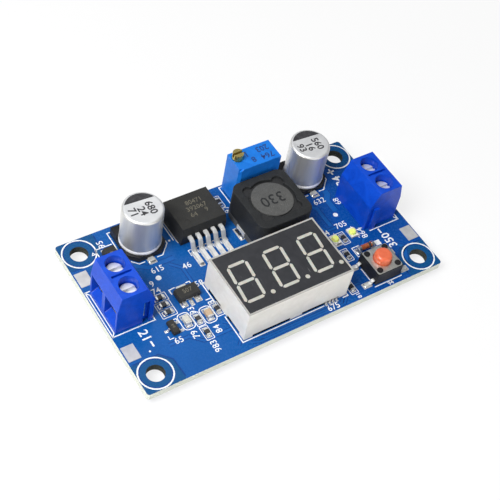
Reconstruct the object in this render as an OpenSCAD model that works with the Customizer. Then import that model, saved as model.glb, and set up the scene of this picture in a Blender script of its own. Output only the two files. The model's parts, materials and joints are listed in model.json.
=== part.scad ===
// Step-down (buck) converter module with a three-digit voltmeter.
// Origin: centre of the outline, on the plane that the solder tails rest on.
// X runs along the board from the input to the output, Y from the display
// side to the trimmer side, Z up.

/* [Board] */
// Length of the board along X
board_l = 66; // [64:0.5:72]
// Width of the board along Y
board_w = 36; // [35.5:0.5:42]
// Thickness of the board
board_t = 1.6; // [1:0.1:2.4]
// Corner radius of the board
board_corner_r = 0.6; // [0.3:0.1:1.2]
// Diameter of the mounting holes
mount_hole_d = 3.5; // [2.5:0.1:3.8]
// Distance of the mounting holes from both board edges
mount_inset = 3.4; // [2.6:0.1:4]
// Length of the pin tails below the board
pin_tail = 1.5; // [1.3:0.1:2.5]
// Length of a bare wire pad along Y
wire_pad_l = 3.3; // [2:0.1:3.6]
// Width of a bare wire pad along X
wire_pad_w = 2.5; // [1.5:0.1:3]

/* [Terminal blocks] */
// Distance between the two poles of a block
pole_pitch = 5; // [4.8:0.1:5.2]
// Depth of a block from its wire side to its inner side
term_depth = 7.5; // [7.2:0.1:8.5]
// Height of a block above the board
term_h = 10; // [9.8:0.1:12]
// Gap between the board edge and the wire side of the input block
in_setback = 1; // [0:0.1:2]
// Gap between the board edge and the wire side of the output block
out_setback = 2; // [0:0.1:3]
// Diameter of the screw well in the top of a block
well_d = 3.6; // [3.5:0.05:3.9]
// Diameter of a terminal screw head
screw_head_d = 3.3; // [3.1:0.05:3.35]
// Depth of the screw heads below the top face
screw_sink = 1.7; // [1.7:0.1:2]
// Diameter of the terminal screw shank
screw_shank_d = 2.9; // [2.4:0.1:2.9]
// Width of a wire entry
entry_w = 4; // [3.8:0.1:4.2]

/* [Capacitors] */
// Diameter of a capacitor can
can_d = 8; // [7:0.1:8.5]
// Height of a capacitor above the board
can_h = 10.2; // [7:0.1:12]
// Width of the moulded base of a capacitor
can_base_w = 8.3; // [8.2:0.1:9]

/* [Regulator] */
// Width of the regulator body
reg_w = 10; // [9.6:0.1:10.6]
// Length of the regulator body along Y
reg_l = 8.2; // [7.6:0.1:8.8]
// Height of the regulator body
reg_h = 4.5; // [4.2:0.1:5]
// Pitch of the regulator leads
reg_pitch = 1.7; // [1.5:0.05:1.8]

/* [Inductor] */
// Width of the square inductor shield
ind_w = 12.2; // [11.4:0.1:12.6]
// Height of the inductor above the board
ind_h = 7.6; // [6:0.1:9]
// Diameter of the round core face
ind_core_d = 8.3; // [7.4:0.1:8.8]

/* [Trimmer] */
// Length of the trimmer along X
trim_l = 9.5; // [9:0.1:10]
// Width of the trimmer along Y
trim_w = 4.8; // [4.4:0.1:5.2]
// Height of the trimmer case above the board
trim_h = 10; // [8:0.1:12]
// Diameter of the trimmer screw
trim_screw_d = 2.2; // [1.8:0.1:2.6]

/* [Display] */
// Length of the display along X
disp_l = 23; // [22.2:0.1:24]
// Width of the display along Y
disp_w = 14; // [13.4:0.1:14.4]
// Height of the display above the board
disp_h = 7.7; // [6:0.1:9]
// Height of one digit
digit_h = 8.8; // [7:0.1:9.2]
// Width of one digit
digit_w = 4.5; // [3.6:0.1:4.8]
// Distance between two digits
digit_pitch = 7.6; // [6.8:0.1:7.7]

/* [Button] */
// Width of the square push-button case
button_case_w = 6; // [5.8:0.1:6.4]
// Height of the push-button case
button_case_h = 3.3; // [2.5:0.1:4]
// Diameter of the button cap
button_cap_d = 3.5; // [3:0.1:3.7]
// Height of the button cap above the cover plate
button_cap_h = 1.6; // [0.8:0.1:4]
// Travel of the button
button_travel = 0.25; // [0.15:0.05:0.3]

/* [Hidden] */
$fn = 48;
e = 0.01;                    // overlap of cutting tools

// ---- heights ----
board_bottom = pin_tail;
board_top = board_bottom + board_t;

// ---- terminal block, in its own frame: x inward from the wire side, z from the board ----
term_w = 2 * pole_pitch;                     // outside width along Y
term_crease_h = term_h * 0.64;               // where the two slopes begin
term_wire_slope = 0.75;                      // how far the wire-side slope leans in
term_inner_slope = 1.6;                      // how far the inner slope leans in
term_bore_x = (term_wire_slope + term_depth - term_inner_slope) / 2;
term_slot_l = 4;                             // slot between the wells
term_slot_w = 0.5;
term_slot_deep = 0.6;
term_recess_wall = 1;                        // rim round the recess underneath
term_recess_deep = 0.3;
term_sill_drop = 0.1;                        // sill of a cell below the floor
term_floor = 1;                              // thickness of the floor
cage_t = 0.8;                                // sheet of the contact cage
nut_t = 1.2;                                 // threaded top of the cage
cage_side = 0.2;                             // between the cage and the cell's sides
cage_w = entry_w - 2 * cage_side;            // width of the cage
cage_mouth = 1.85;                           // mouth of the cage ahead of the screw axis
cage_back = 2.75;                            // back of the cage behind the screw axis
cage_x0 = term_bore_x - cage_mouth;
cage_x1 = term_bore_x + cage_back;
cage_drop = 0.2;
cage_top = term_crease_h - cage_drop;        // top of the cage
cell_gap = 0.05;
cell_x1 = cage_x1 + cell_gap;                // back of the cell behind the cage
screw_head_t = 1.1;
screw_edge = 0.2;                            // bevel of a screw head
screw_slot_w = 0.6;
screw_slot_deep = 0.6;
screw_gap = 0.05;                            // radial clearance in the nut
screw_head_z = term_h - screw_sink - screw_head_t;
guard_t = 0.3;                               // sheet of the wire guard
guard_lift = 0.5;                            // guard above the cage floor at rest
guard_z = term_floor + cage_t + guard_lift;
guard_lip = 0.6;                             // upturned rear lip of the guard
guard_gap = 0.1;                             // between the guard and the cage
contact_pin_w = 1;                           // contact pin along Y
contact_pin_t = 0.8;                         // contact pin along X
contact_pin_hole = 1.5;
rib_inset = 1.5;                             // dovetail that joins blocks side by side
rib_x = term_depth - rib_inset;
rib_out = 0.6;
rib_root = 0.5;                              // half width at the side of the block
rib_tip = 0.7;                               // half width at the tip
rib_drop = 0.4;
rib_h = term_crease_h - rib_drop;
rib_gap = 0.1;
pin_gap = 0.1;                               // round a contact pin in the floor

// ---- sizes that the layout needs ----
diode_w = 2.6;                               // width of the power diode
wire_pad_inset = 1.5;                        // centre of a wire pad inside the board edge
reg_lead_reach = 5.3;                        // lead tips ahead of the regulator body

// ---- layout on the board ----
in_face_x = -board_l / 2 + in_setback;       // wire side of the input block
out_face_x = board_l / 2 - out_setback;
term_y = 0.7;
in_inner_x = in_face_x + term_depth;
out_inner_x = out_face_x - term_depth;
disp_setback = 2.2;                          // from the board edge to the display
disp_x = -0.6;
disp_y = -board_w / 2 + disp_setback + disp_w / 2;
disp_left = disp_x - disp_l / 2;
disp_right = disp_x + disp_l / 2;
disp_front = disp_y - disp_w / 2;
disp_back = disp_y + disp_w / 2;

// A place between a terminal block and the display, as a share of the way across
function left_bay(s) = in_inner_x + s * (disp_left - in_inner_x);
function right_bay(s) = disp_right + s * (out_inner_x - disp_right);

// Back row: power diode, capacitor, regulator, inductor, capacitor, with the free length shared out
row_end = board_l / 2 - wire_pad_inset - wire_pad_w / 2;
row_free = 2 * row_end - diode_w - 2 * can_base_w - reg_w - ind_w;
row_share = [0.220, 0.063, 0.123, 0.113, 0.149];
diode_x = -row_end + row_share[0] * row_free + diode_w / 2;
in_cap_x = diode_x + diode_w / 2 + row_share[1] * row_free + can_base_w / 2;
reg_x = in_cap_x + can_base_w / 2 + row_share[2] * row_free + reg_w / 2;
ind_x = reg_x + reg_w / 2 + row_share[3] * row_free + ind_w / 2;
out_cap_x = ind_x + ind_w / 2 + row_share[4] * row_free + can_base_w / 2;
reg_clear = 4.3;                             // between the lead tips and the display
reg_y = disp_back + reg_clear + reg_lead_reach;  // front face of the regulator body
in_cap_y = reg_y + 4.4;
out_cap_y = in_cap_y + 0.4;
diode_y = in_cap_y - 1.75;
ind_clear = 1.3;                             // between the display and the inductor
ind_y = disp_back + ind_clear + ind_w / 2;
trim_clear = 0.7;                            // between the inductor and the trimmer
trim_x = ind_x + 1.3;
trim_y = ind_y + ind_w / 2 + trim_clear + trim_w / 2;
switch_x = right_bay(0.754);
switch_y = disp_front + 2.2;

// ---- through-hole pins ----
trim_pitch = 2.54;
disp_pin_pitch = 2.54;
disp_pin_rows = 10.16;
disp_pin_count = 6;                          // pins in each of the two rows
thin_pin_w = 0.5;
thin_pin_hole = 0.9;

// Cuboid centred in X and Y, standing on z
module block(l, w, h, z = 0) translate([-l / 2, -w / 2, z]) cube([l, w, h]);

// Outline in the XZ plane extruded along Y, centred
module extrude_y(w) translate([0, w / 2, 0]) rotate([90, 0, 0]) linear_extrude(w) children();

// Rectangle with round corners, made of true arcs
module round_rect(l, w, r) {
    square([l - 2 * r, w], center = true);
    square([l, w - 2 * r], center = true);
    for (x = [-1, 1], y = [-1, 1])
        translate([x * (l / 2 - r), y * (w / 2 - r)]) circle(r);
}

// Moulded body: a block whose upper part tapers to the top on all four sides
module moulded_body(l, w, h, taper, waist = 0.45) {
    intersection() {
        extrude_y(w) tapered_outline(l, h, taper, waist);
        rotate(90) extrude_y(l) tapered_outline(w, h, taper, waist);
    }
}

module tapered_outline(l, h, taper, waist) {
    polygon([[-l / 2 + taper / 2, 0], [l / 2 - taper / 2, 0], [l / 2, h * waist],
        [l / 2 - taper, h], [-l / 2 + taper, h], [-l / 2, h * waist]]);
}

// Offset of a bent strip's centreline at one of its points
function unit(v) = v / norm(v);
function side(a, b) = let (d = unit(b - a)) [-d.y, d.x];
function miter(p, i) = let (
    a = i == 0 ? side(p[0], p[1]) : side(p[i - 1], p[i]),
    b = i == len(p) - 1 ? a : side(p[i], p[i + 1]))
    (a + b) / (1 + a * b);

// Metal strip of thickness t and width w bent along a centreline in XZ
module bent_strip(path, t, w) {
    last = len(path) - 1;
    extrude_y(w) polygon(concat(
        [for (i = [0:last]) path[i] + miter(path, i) * t / 2],
        [for (i = [last:-1:0]) path[i] - miter(path, i) * t / 2]));
}

// Gull-wing lead: leaves the body at height z, ends with a foot at distance reach
module gull_lead(z, reach, foot, t, w) {
    knee = reach - foot;
    bent_strip([[0, z], [knee * 0.35, z], [knee * 0.6, z - t * 0.5], [knee * 0.85, t * 1.3],
        [knee + t, t / 2], [reach, t / 2]], t, w);
}

module on_board(x, y) translate([x, y, board_top]) children();
module at_in_terminal() on_board(in_face_x, term_y) children();
module at_out_terminal() on_board(out_face_x, term_y) rotate(180) children();
module each_pole() for (s = [-1, 1]) translate([term_bore_x, s * pole_pitch / 2, 0]) children();
module each_mount_hole() {
    for (x = [-1, 1], y = [-1, 1])
        translate([x * (board_l / 2 - mount_inset), y * (board_w / 2 - mount_inset), 0]) children();
}
module pins_of_trimmer() for (i = [-1:1]) translate([i * trim_pitch, 0, 0]) children();
module pins_of_display() {
    for (i = [0:disp_pin_count - 1], s = [-1, 1])
        translate([(i - (disp_pin_count - 1) / 2) * disp_pin_pitch, s * disp_pin_rows / 2, 0]) children();
}
module each_trimmer_pin() translate([trim_x, trim_y, 0]) pins_of_trimmer() children();
module each_display_pin() translate([disp_x, disp_y, 0]) pins_of_display() children();
module each_terminal_pin() {
    translate([in_face_x, term_y, 0]) each_pole() children();
    translate([out_face_x, term_y, 0]) rotate(180) each_pole() children();
}

// ---- board ----
module circuit_board() color("royalblue") difference() {
    translate([0, 0, board_bottom]) linear_extrude(board_t) round_rect(board_l, board_w, board_corner_r);
    translate([0, 0, board_bottom - e]) {
        each_mount_hole() cylinder(d = mount_hole_d, h = board_t + 2 * e);
        each_terminal_pin() cylinder(d = contact_pin_hole, h = board_t + 2 * e);
        each_trimmer_pin() cylinder(d = thin_pin_hole, h = board_t + 2 * e);
        each_display_pin() cylinder(d = thin_pin_hole, h = board_t + 2 * e);
    }
}

wire_pad_t = 0.1;
wire_pad_gap = 2.2;                          // between a wire pad and the mounting hole's edge
wire_pad_y = board_w / 2 - mount_inset - mount_hole_d / 2 - wire_pad_gap - wire_pad_l / 2;

module wire_pads() color("lightgray") {
    for (x = [-1, 1], y = [-1, 1], z = [board_top, board_bottom - wire_pad_t])
        translate([x * (board_l / 2 - wire_pad_inset), y * wire_pad_y, 0])
            block(wire_pad_w, wire_pad_l, wire_pad_t, z);
}

// Solder joints below the board: width at the board, width at the tip, height
thick_joint = [3, 1.6, 1.1];
thin_joint = [1.9, 0.9, 1];

module solder_cone(d, tip_d, h, pin_l, pin_w) translate([0, 0, board_bottom - h]) difference() {
    cylinder(d1 = tip_d, d2 = d, h = h);
    block(pin_l, pin_w, h + 2 * e, -e);
}

module thin_solder_cone() solder_cone(thin_joint[0], thin_joint[1], thin_joint[2], thin_pin_w, thin_pin_w);

module solder_joints() color("silver") {
    each_terminal_pin() solder_cone(thick_joint[0], thick_joint[1], thick_joint[2],
        contact_pin_t, contact_pin_w);
    each_trimmer_pin() thin_solder_cone();
    each_display_pin() thin_solder_cone();
}

// ---- terminal block ----
module terminal_profile() polygon([[0, 0], [0, term_crease_h], [term_wire_slope, term_h],
    [term_depth - term_inner_slope, term_h], [term_depth, term_crease_h], [term_depth, 0]]);

// Side section of one wire cell, with a sill that guides the wire onto the cage floor
module cell_profile() polygon([[-1, term_floor - term_sill_drop], [0, term_floor - term_sill_drop],
    [cage_x0, term_floor + cage_t], [cage_x0, term_floor], [cell_x1, term_floor],
    [cell_x1, cage_top], [-1, cage_top]]);

// Dovetail section in XY, growing outward along -Y
module dovetail(g) polygon([[-rib_root - g, e], [rib_root + g, e], [rib_tip + g, -rib_out - g],
    [-rib_tip - g, -rib_out - g]]);

module terminal_housing() color("mediumblue") difference() {
    union() {
        extrude_y(term_w) terminal_profile();
        translate([rib_x, term_w / 2, 0]) mirror([0, 1, 0]) linear_extrude(rib_h) dovetail(0);
    }
    translate([rib_x, -term_w / 2, -e]) mirror([0, 1, 0])
        linear_extrude(rib_h + rib_gap) dovetail(rib_gap);
    each_pole() translate([0, 0, cage_top - e]) cylinder(d = well_d, h = term_h);
    for (s = [-1, 1]) translate([0, s * pole_pitch / 2, 0]) extrude_y(entry_w) cell_profile();
    each_pole() block(contact_pin_t + 2 * pin_gap, contact_pin_w + 2 * pin_gap, term_floor + 2 * e, -e);
    translate([term_bore_x, 0, term_h - term_slot_deep]) block(term_slot_l, term_slot_w, 1);
    translate([term_depth / 2, 0, -e])
        block(term_depth - 2 * term_recess_wall, term_w - 2 * term_recess_wall, term_recess_deep);
}

// C-shaped cage: floor, back wall and threaded top, with its pin below
module contact_cage() difference() {
    union() {
        translate([-term_bore_x, 0, 0]) extrude_y(cage_w) polygon([[cage_x0, term_floor],
            [cage_x1, term_floor], [cage_x1, cage_top], [cage_x0, cage_top],
            [cage_x0, cage_top - nut_t], [cage_x1 - cage_t, cage_top - nut_t],
            [cage_x1 - cage_t, term_floor + cage_t], [cage_x0, term_floor + cage_t]]);
        block(contact_pin_t, contact_pin_w, board_t + pin_tail + term_floor + e, -board_t - pin_tail);
    }
    translate([0, 0, cage_top - nut_t - e])
        cylinder(d = screw_shank_d + 2 * screw_gap, h = nut_t + 2 * e);
}

module terminal_contacts() color("silver") each_pole() contact_cage();

module terminal_screw() color("gainsboro") difference() {
    union() {
        translate([0, 0, guard_z + guard_t])
            cylinder(d = screw_shank_d, h = screw_head_z - guard_z - guard_t + e);
        translate([0, 0, screw_head_z]) cylinder(d = screw_head_d, h = screw_head_t - screw_edge);
        translate([0, 0, screw_head_z + screw_head_t - screw_edge])
            cylinder(d1 = screw_head_d, d2 = screw_head_d - 2 * screw_edge, h = screw_edge);
    }
    translate([0, 0, screw_head_z + screw_head_t - screw_slot_deep])
        block(screw_head_d + 1, screw_slot_w, 1);
}

// L-shaped sheet under the screw that presses on the wire
module wire_guard() color("lightsteelblue") translate([-term_bore_x, 0, 0]) {
    guard_x0 = cage_x0 + guard_gap;
    guard_x1 = cage_x1 - cage_t - guard_gap;
    extrude_y(cage_w - 2 * cage_side) polygon([[guard_x0, guard_z], [guard_x1, guard_z],
        [guard_x1, guard_z + guard_t + guard_lip], [guard_x1 - guard_t, guard_z + guard_t + guard_lip],
        [guard_x1 - guard_t, guard_z + guard_t], [guard_x0, guard_z + guard_t]]);
}

module at_pole(s) translate([term_bore_x, s * pole_pitch / 2, 0]) children();

module in_terminal_housing() at_in_terminal() terminal_housing();
module in_terminal_contacts() at_in_terminal() terminal_contacts();
module in_plus_screw() at_in_terminal() at_pole(1) terminal_screw();
module in_minus_screw() at_in_terminal() at_pole(-1) terminal_screw();
module in_plus_guard() at_in_terminal() at_pole(1) wire_guard();
module in_minus_guard() at_in_terminal() at_pole(-1) wire_guard();
module out_terminal_housing() at_out_terminal() terminal_housing();
module out_terminal_contacts() at_out_terminal() terminal_contacts();
module out_plus_screw() at_out_terminal() at_pole(-1) terminal_screw();
module out_minus_screw() at_out_terminal() at_pole(1) terminal_screw();
module out_plus_guard() at_out_terminal() at_pole(-1) wire_guard();
module out_minus_guard() at_out_terminal() at_pole(1) wire_guard();

// ---- capacitors ----
can_base_t = 1.2;                            // plate under the can
can_wall_t = 0.8;                            // height of the two corner posts above the plate
can_post = 2.4;                              // width of a corner post
can_flare = 0.15;                            // how far the rolled rim stands out
can_rim_h = 0.7;
can_edge_r = 0.5;                            // rounded top edge
can_gap = 0.05;
can_chamfer = 1.7;                           // cut front corners of the base
tab_w = 1.1;
tab_t = 0.3;
tab_out = 0.9;                               // tab ahead of the base

module cap_base_outline() {
    a = can_base_w / 2;
    polygon([[-a, a], [a, a], [a, -a + can_chamfer], [a - can_chamfer, -a],
        [-a + can_chamfer, -a], [-a, -a + can_chamfer]]);
}

module cap_base() color("#1b1b1d") difference() {
    union() {
        linear_extrude(can_base_t) cap_base_outline();
        for (s = [-1, 1]) translate([s * (can_base_w - can_post) / 2, (can_base_w - can_post) / 2, 0])
            block(can_post, can_post, can_base_t + can_wall_t);
    }
    translate([0, 0, can_base_t]) cylinder(d = can_d + 2 * (can_flare + can_gap), h = can_wall_t + 1);
    for (s = [-1, 1]) translate([0, s * can_base_w / 2, 0]) block(tab_w, can_base_w / 2, tab_t + e, -e);
}

module cap_can() color("gainsboro") rotate_extrude() {
    r = can_d / 2;
    polygon(concat([[0, can_base_t], [r + can_flare - 0.1, can_base_t], [r + can_flare, can_base_t + 0.1],
        [r + can_flare, can_base_t + can_rim_h * 0.6], [r, can_base_t + can_rim_h]],
        [for (a = [0:15:90]) [r - can_edge_r + can_edge_r * cos(a), can_h - can_edge_r + can_edge_r * sin(a)]],
        [[0, can_h]]));
}

module cap_tabs() color("silver") for (s = [-1, 1])
    translate([0, s * (can_base_w / 2 + tab_out / 2 - can_base_w / 8), 0])
        block(tab_w, tab_out + can_base_w / 4, tab_t);

module in_cap_base() on_board(in_cap_x, in_cap_y) cap_base();
module in_cap_can() on_board(in_cap_x, in_cap_y) cap_can();
module in_cap_tabs() on_board(in_cap_x, in_cap_y) cap_tabs();
module out_cap_base() on_board(out_cap_x, out_cap_y) cap_base();
module out_cap_can() on_board(out_cap_x, out_cap_y) cap_can();
module out_cap_tabs() on_board(out_cap_x, out_cap_y) cap_tabs();

// ---- regulator: front face of the body at y = 0 ----
reg_lead_w = 0.8;
reg_lead_t = 0.5;
reg_lead_z = 2.4;                            // centre height of the leads at the body
reg_tab_t = 1.3;
reg_tab_out = 1.2;                           // tab behind the body
reg_tab_inset = 1.4;                         // tab ahead face inside the body

module reg_side_profile() polygon([[0.25, 0.1], [reg_l, 0.1], [reg_l, reg_tab_t + 0.3],
    [reg_l - 0.2, reg_h], [0.35, reg_h], [0, reg_lead_z + 0.4], [0, reg_lead_z - 0.4]]);

module regulator_tab_shape(grow = 0) {
    w = reg_w - 0.4 + 2 * grow;
    translate([-w / 2, reg_tab_inset - grow, -grow])
        cube([w, reg_l - reg_tab_inset + 0.2, reg_tab_t + grow]);
    translate([0, 0, -grow]) linear_extrude(reg_tab_t + grow) polygon([[-w / 2, reg_l],
        [w / 2, reg_l], [w / 2, reg_l + reg_tab_out * 0.6], [w / 2 - 0.9, reg_l + reg_tab_out],
        [-w / 2 + 0.9, reg_l + reg_tab_out], [-w / 2, reg_l + reg_tab_out * 0.6]]);
}

module regulator_body() color("#2b2b2d") on_board(reg_x, reg_y) difference() {
    intersection() {
        rotate(90) extrude_y(reg_w) reg_side_profile();
        translate([0, reg_l / 2, 0]) extrude_y(reg_l + 1) polygon([[-reg_w / 2 + 0.1, 0],
            [reg_w / 2 - 0.1, 0], [reg_w / 2, reg_tab_t], [reg_w / 2 - 0.25, reg_h],
            [-reg_w / 2 + 0.25, reg_h], [-reg_w / 2, reg_tab_t]]);
    }
    regulator_tab_shape();
    translate([-reg_w / 2 + 2, 1.7, reg_h - 0.1]) cylinder(d = 1.3, h = 1);
}

module regulator_tab() color("silver") on_board(reg_x, reg_y) regulator_tab_shape();

module regulator_leads() color("gainsboro") on_board(reg_x, reg_y) for (i = [-2:2])
    translate([i * reg_pitch, 0, 0]) rotate(-90) bent_strip([[0, reg_lead_z], [0.9, reg_lead_z],
        [1.35, reg_lead_z - 0.25], [1.7, 1.4], [2.05, 0.5], [2.5, reg_lead_t / 2],
        [reg_lead_reach, reg_lead_t / 2]], reg_lead_t, reg_lead_w);

// ---- inductor ----
ind_foot = 0.25;                             // clips under the core flange
ind_flange_t = 1.4;
ind_r = 2;                                   // corner radius of the square parts
ind_top_t = 1.5;                             // round top flange of the core
ind_post_d = 4.6;
ind_well_d = ind_core_d + 1.1;               // bore of the shield
ind_lobe_d = 2.4;                            // corner notches of the bore
ind_shield_z = ind_foot + ind_flange_t;
ind_clip_w = 2.6;
ind_core_drop = 0.25;                        // core face below the shield rim

module inductor_core() color("#3a3a3c") on_board(ind_x, ind_y) {
    translate([0, 0, ind_foot]) linear_extrude(ind_flange_t) round_rect(ind_w, ind_w, ind_r);
    translate([0, 0, ind_shield_z - e])
        cylinder(d = ind_post_d, h = ind_h - ind_core_drop - ind_top_t - ind_shield_z + 2 * e);
    translate([0, 0, ind_h - ind_core_drop - ind_top_t]) cylinder(d = ind_core_d, h = ind_top_t);
}

module inductor_winding() color("chocolate") on_board(ind_x, ind_y) difference() {
    translate([0, 0, ind_shield_z])
        cylinder(d = ind_core_d - 0.5, h = ind_h - ind_core_drop - ind_top_t - ind_shield_z);
    translate([0, 0, ind_shield_z - e]) cylinder(d = ind_post_d, h = ind_h);
}

module inductor_shield() color("#303032") on_board(ind_x, ind_y) difference() {
    translate([0, 0, ind_shield_z]) linear_extrude(ind_h - ind_shield_z) round_rect(ind_w, ind_w, ind_r);
    translate([0, 0, ind_shield_z - e]) cylinder(d = ind_well_d, h = ind_h);
    for (a = [45:90:315]) rotate(a) translate([ind_well_d / 2, 0, ind_h - 1]) cylinder(d = ind_lobe_d, h = 2);
}

module inductor_clips() color("silver") on_board(ind_x, ind_y) for (a = [0, 180]) rotate(a)
    extrude_y(ind_clip_w) polygon([[ind_w / 2 - 2.2, 0], [ind_w / 2 + 0.2, 0], [ind_w / 2 + 0.2, 1.5],
        [ind_w / 2, 1.5], [ind_w / 2, ind_foot], [ind_w / 2 - 2.2, ind_foot]]);

// ---- trimmer ----
trim_foot = 0.4;                             // standing edges under the case
trim_screw_x = -trim_l / 2 + 1.3;
trim_screw_y = 0.8;
trim_screw_gap = 0.05;
trim_screw_up = 1.4;                         // screw above the case
trim_screw_in = 1.6;                         // screw inside the case

module trimmer_body() color("dodgerblue") on_board(trim_x, trim_y) difference() {
    block(trim_l, trim_w, trim_h);
    block(trim_l + 1, trim_w - 1.4, trim_foot + e, -e);
    translate([trim_screw_x, trim_screw_y, trim_h - trim_screw_in])
        cylinder(d = trim_screw_d + 2 * trim_screw_gap, h = trim_screw_in + 1);
    translate([-trim_l / 2, -trim_w / 2, trim_h]) rotate([0, 45, 0]) block(1.2, 0.8, 1.2, -0.6);
    translate([-trim_l / 2, -trim_w / 2, 0]) rotate(45) block(0.7, 0.7, trim_h * 3, -trim_h);
    pins_of_trimmer() block(thin_pin_w, thin_pin_w, trim_foot + 1.2, -e);
}

module trimmer_screw() color("goldenrod") on_board(trim_x + trim_screw_x, trim_y + trim_screw_y)
    difference() {
        translate([0, 0, trim_h - trim_screw_in]) cylinder(d = trim_screw_d, h = trim_screw_in + trim_screw_up);
        translate([0, 0, trim_h + trim_screw_up - 0.8]) block(trim_screw_d + 1, 0.45, 2);
    }

module trimmer_pins() color("silver") each_trimmer_pin()
    block(thin_pin_w, thin_pin_w, board_top + trim_foot + 1.2 - e);

// ---- display ----
disp_rim = 0.35;                             // pale rim round the black face
disp_face_t = 0.3;
disp_light_t = 1.5;                          // depth of the segment light pipes
disp_wall = 0.9;                             // skirt round the hollow underside
disp_hollow = 1.9;                           // depth of the hollow underside
disp_gap_h = 0.6;                            // slots between the feet
seg_w = 0.62;                                // width of one segment bar
seg_gap = 0.14;
digit_lean = 6;                              // slope of the digits in degrees
dot_d = 0.9;

function lean(p) = [p.x + p.y * tan(digit_lean), p.y];
function bar(c, half, along_x) = [for (p = [[-half, 0], [-half + seg_w / 2, seg_w / 2],
    [half - seg_w / 2, seg_w / 2], [half, 0], [half - seg_w / 2, -seg_w / 2],
    [-half + seg_w / 2, -seg_w / 2]]) lean(c + (along_x ? p : [p.y, p.x]))];

// The seven bars and the point of one digit
module digit_outline() {
    dx = (digit_w - seg_w) / 2;
    dy = (digit_h - seg_w) / 2;
    for (y = [-dy, 0, dy]) polygon(bar([0, y], dx - seg_gap, true));
    for (x = [-dx, dx], y = [-dy / 2, dy / 2]) polygon(bar([x, y], dy / 2 - seg_gap, false));
    translate([digit_w / 2 + 0.95, -dy]) circle(d = dot_d);
}

module each_digit() for (i = [-1:1]) translate([i * digit_pitch - 0.4, -0.25]) children();

module display_housing() color("ivory") on_board(disp_x, disp_y) difference() {
    block(disp_l, disp_w, disp_h);
    block(disp_l - 2 * disp_rim, disp_w - 2 * disp_rim, 1, disp_h - disp_face_t);
    block(disp_l - 2 * disp_wall, disp_w - 2 * disp_wall, disp_hollow + e, -e);
    for (x = [-1, 1]) translate([x * disp_l / 4.2, 0, 0]) block(disp_l * 0.36, disp_w + 1, disp_gap_h + e, -e);
    for (y = [-1, 1]) translate([0, y * disp_w / 4.2, 0]) block(disp_l + 1, disp_w * 0.3, disp_gap_h + e, -e);
    translate([0, 0, disp_h - disp_light_t]) linear_extrude(disp_light_t) each_digit() digit_outline();
    pins_of_display() block(thin_pin_w, thin_pin_w, disp_hollow + 1.5, -e);
}

module display_face() color("#232327") on_board(disp_x, disp_y)
    translate([0, 0, disp_h - disp_face_t]) linear_extrude(disp_face_t) difference() {
        square([disp_l - 2 * disp_rim, disp_w - 2 * disp_rim], center = true);
        each_digit() digit_outline();
    }

module display_segments() color("lemonchiffon") on_board(disp_x, disp_y)
    translate([0, 0, disp_h - disp_light_t]) linear_extrude(disp_light_t) each_digit() digit_outline();

module display_pins() color("silver") each_display_pin()
    block(thin_pin_w, thin_pin_w, board_top + disp_hollow + 1.5 - e);

// ---- controller and resistor arrays under the display ----
ctrl_l = 6.5;
ctrl_w = 4.4;
ctrl_h = 1.1;
ctrl_pitch = 0.65;

module at_controller() on_board(disp_x - 3.5, disp_y) children();
module controller_body() color("#1f1f21") at_controller() translate([0, 0, 0.1])
    moulded_body(ctrl_l, ctrl_w, ctrl_h - 0.1, 0.1);
module controller_leads() color("silver") at_controller() for (i = [0:9], s = [0, 180]) rotate(s)
    translate([(i - 4.5) * ctrl_pitch, ctrl_w / 2, 0]) rotate(90) gull_lead(0.55, 1, 0.55, 0.15, 0.25);

array_l = 3.2;
array_w = 1.6;
array_h = 0.55;
array_pitch = 0.8;
array_end_w = 0.5;                           // end metal along the array
array_end_l = 0.3;                           // end metal across the array
array_inset = 3.5;                           // arrays inside the right side of the display
module each_array() {
    on_board(disp_right - array_inset, disp_front + array_w / 2 - 0.1) children();
    on_board(disp_right - array_inset, disp_y + 1.8) children();
}
module each_array_end(inset) for (i = [-1.5:1.5], s = [-1, 1])
    translate([i * array_pitch, s * (array_w / 2 - inset), 0]) children();
module resistor_array_bodies() color("#222224") each_array() difference() {
    block(array_l, array_w, array_h);
    each_array_end(0) block(array_end_w, array_end_w, array_h + 2, -1);
}
module resistor_array_ends() color("silver") each_array() each_array_end(array_end_l / 2 - 0.05)
    block(array_end_w, array_end_l, array_h);

// ---- push button ----
cover_t = 0.25;
cover_z = button_case_h - cover_t;
rivet_d = 1.2;
rivet_up = 0.15;                             // rivet heads above the cover
case_foot = 0.1;                             // case above the board
rivet_at = button_case_w / 2 - 0.85;
dome_d = button_case_w - 2;
well_z = 1.2;                                // floor of the well in the case
cap_flange_t = 0.5;
cap_gap = 0.1;                               // round the cap in the cover hole
cap_flange_d = button_cap_d + 0.8;
cap_flange_z = cover_z - cap_flange_t;
dome_h = 0.25;
dome_t = 0.1;
leg_w = 0.7;
leg_t = 0.3;
leg_reach = 2;
cap_round = 0.7;                             // rounding of the cap's top edge
stem_d = 1.6;
stem_gap = 0.05;                             // between the stem and the dome at full travel

module at_switch() on_board(switch_x, switch_y) children();
module each_rivet() for (x = [-1, 1], y = [-1, 1]) translate([x * rivet_at, y * rivet_at, 0]) children();

module switch_base() color("#18181a") at_switch() {
    difference() {
        block(button_case_w, button_case_w, cover_z - case_foot, case_foot);
        translate([0, 0, well_z]) cylinder(d = cap_flange_d + 2 * cap_gap, h = button_case_h);
    }
    each_rivet() translate([0, 0, cover_z - e]) cylinder(d = rivet_d, h = cover_t + rivet_up + e);
}

module switch_cover() color("silver") at_switch() difference() {
    translate([0, 0, cover_z]) linear_extrude(cover_t)
        round_rect(button_case_w - 0.2, button_case_w - 0.2, 0.4);
    translate([0, 0, cover_z - e]) cylinder(d = button_cap_d + 2 * cap_gap, h = 1);
    each_rivet() translate([0, 0, cover_z - e]) cylinder(d = rivet_d, h = 1);
}

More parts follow.
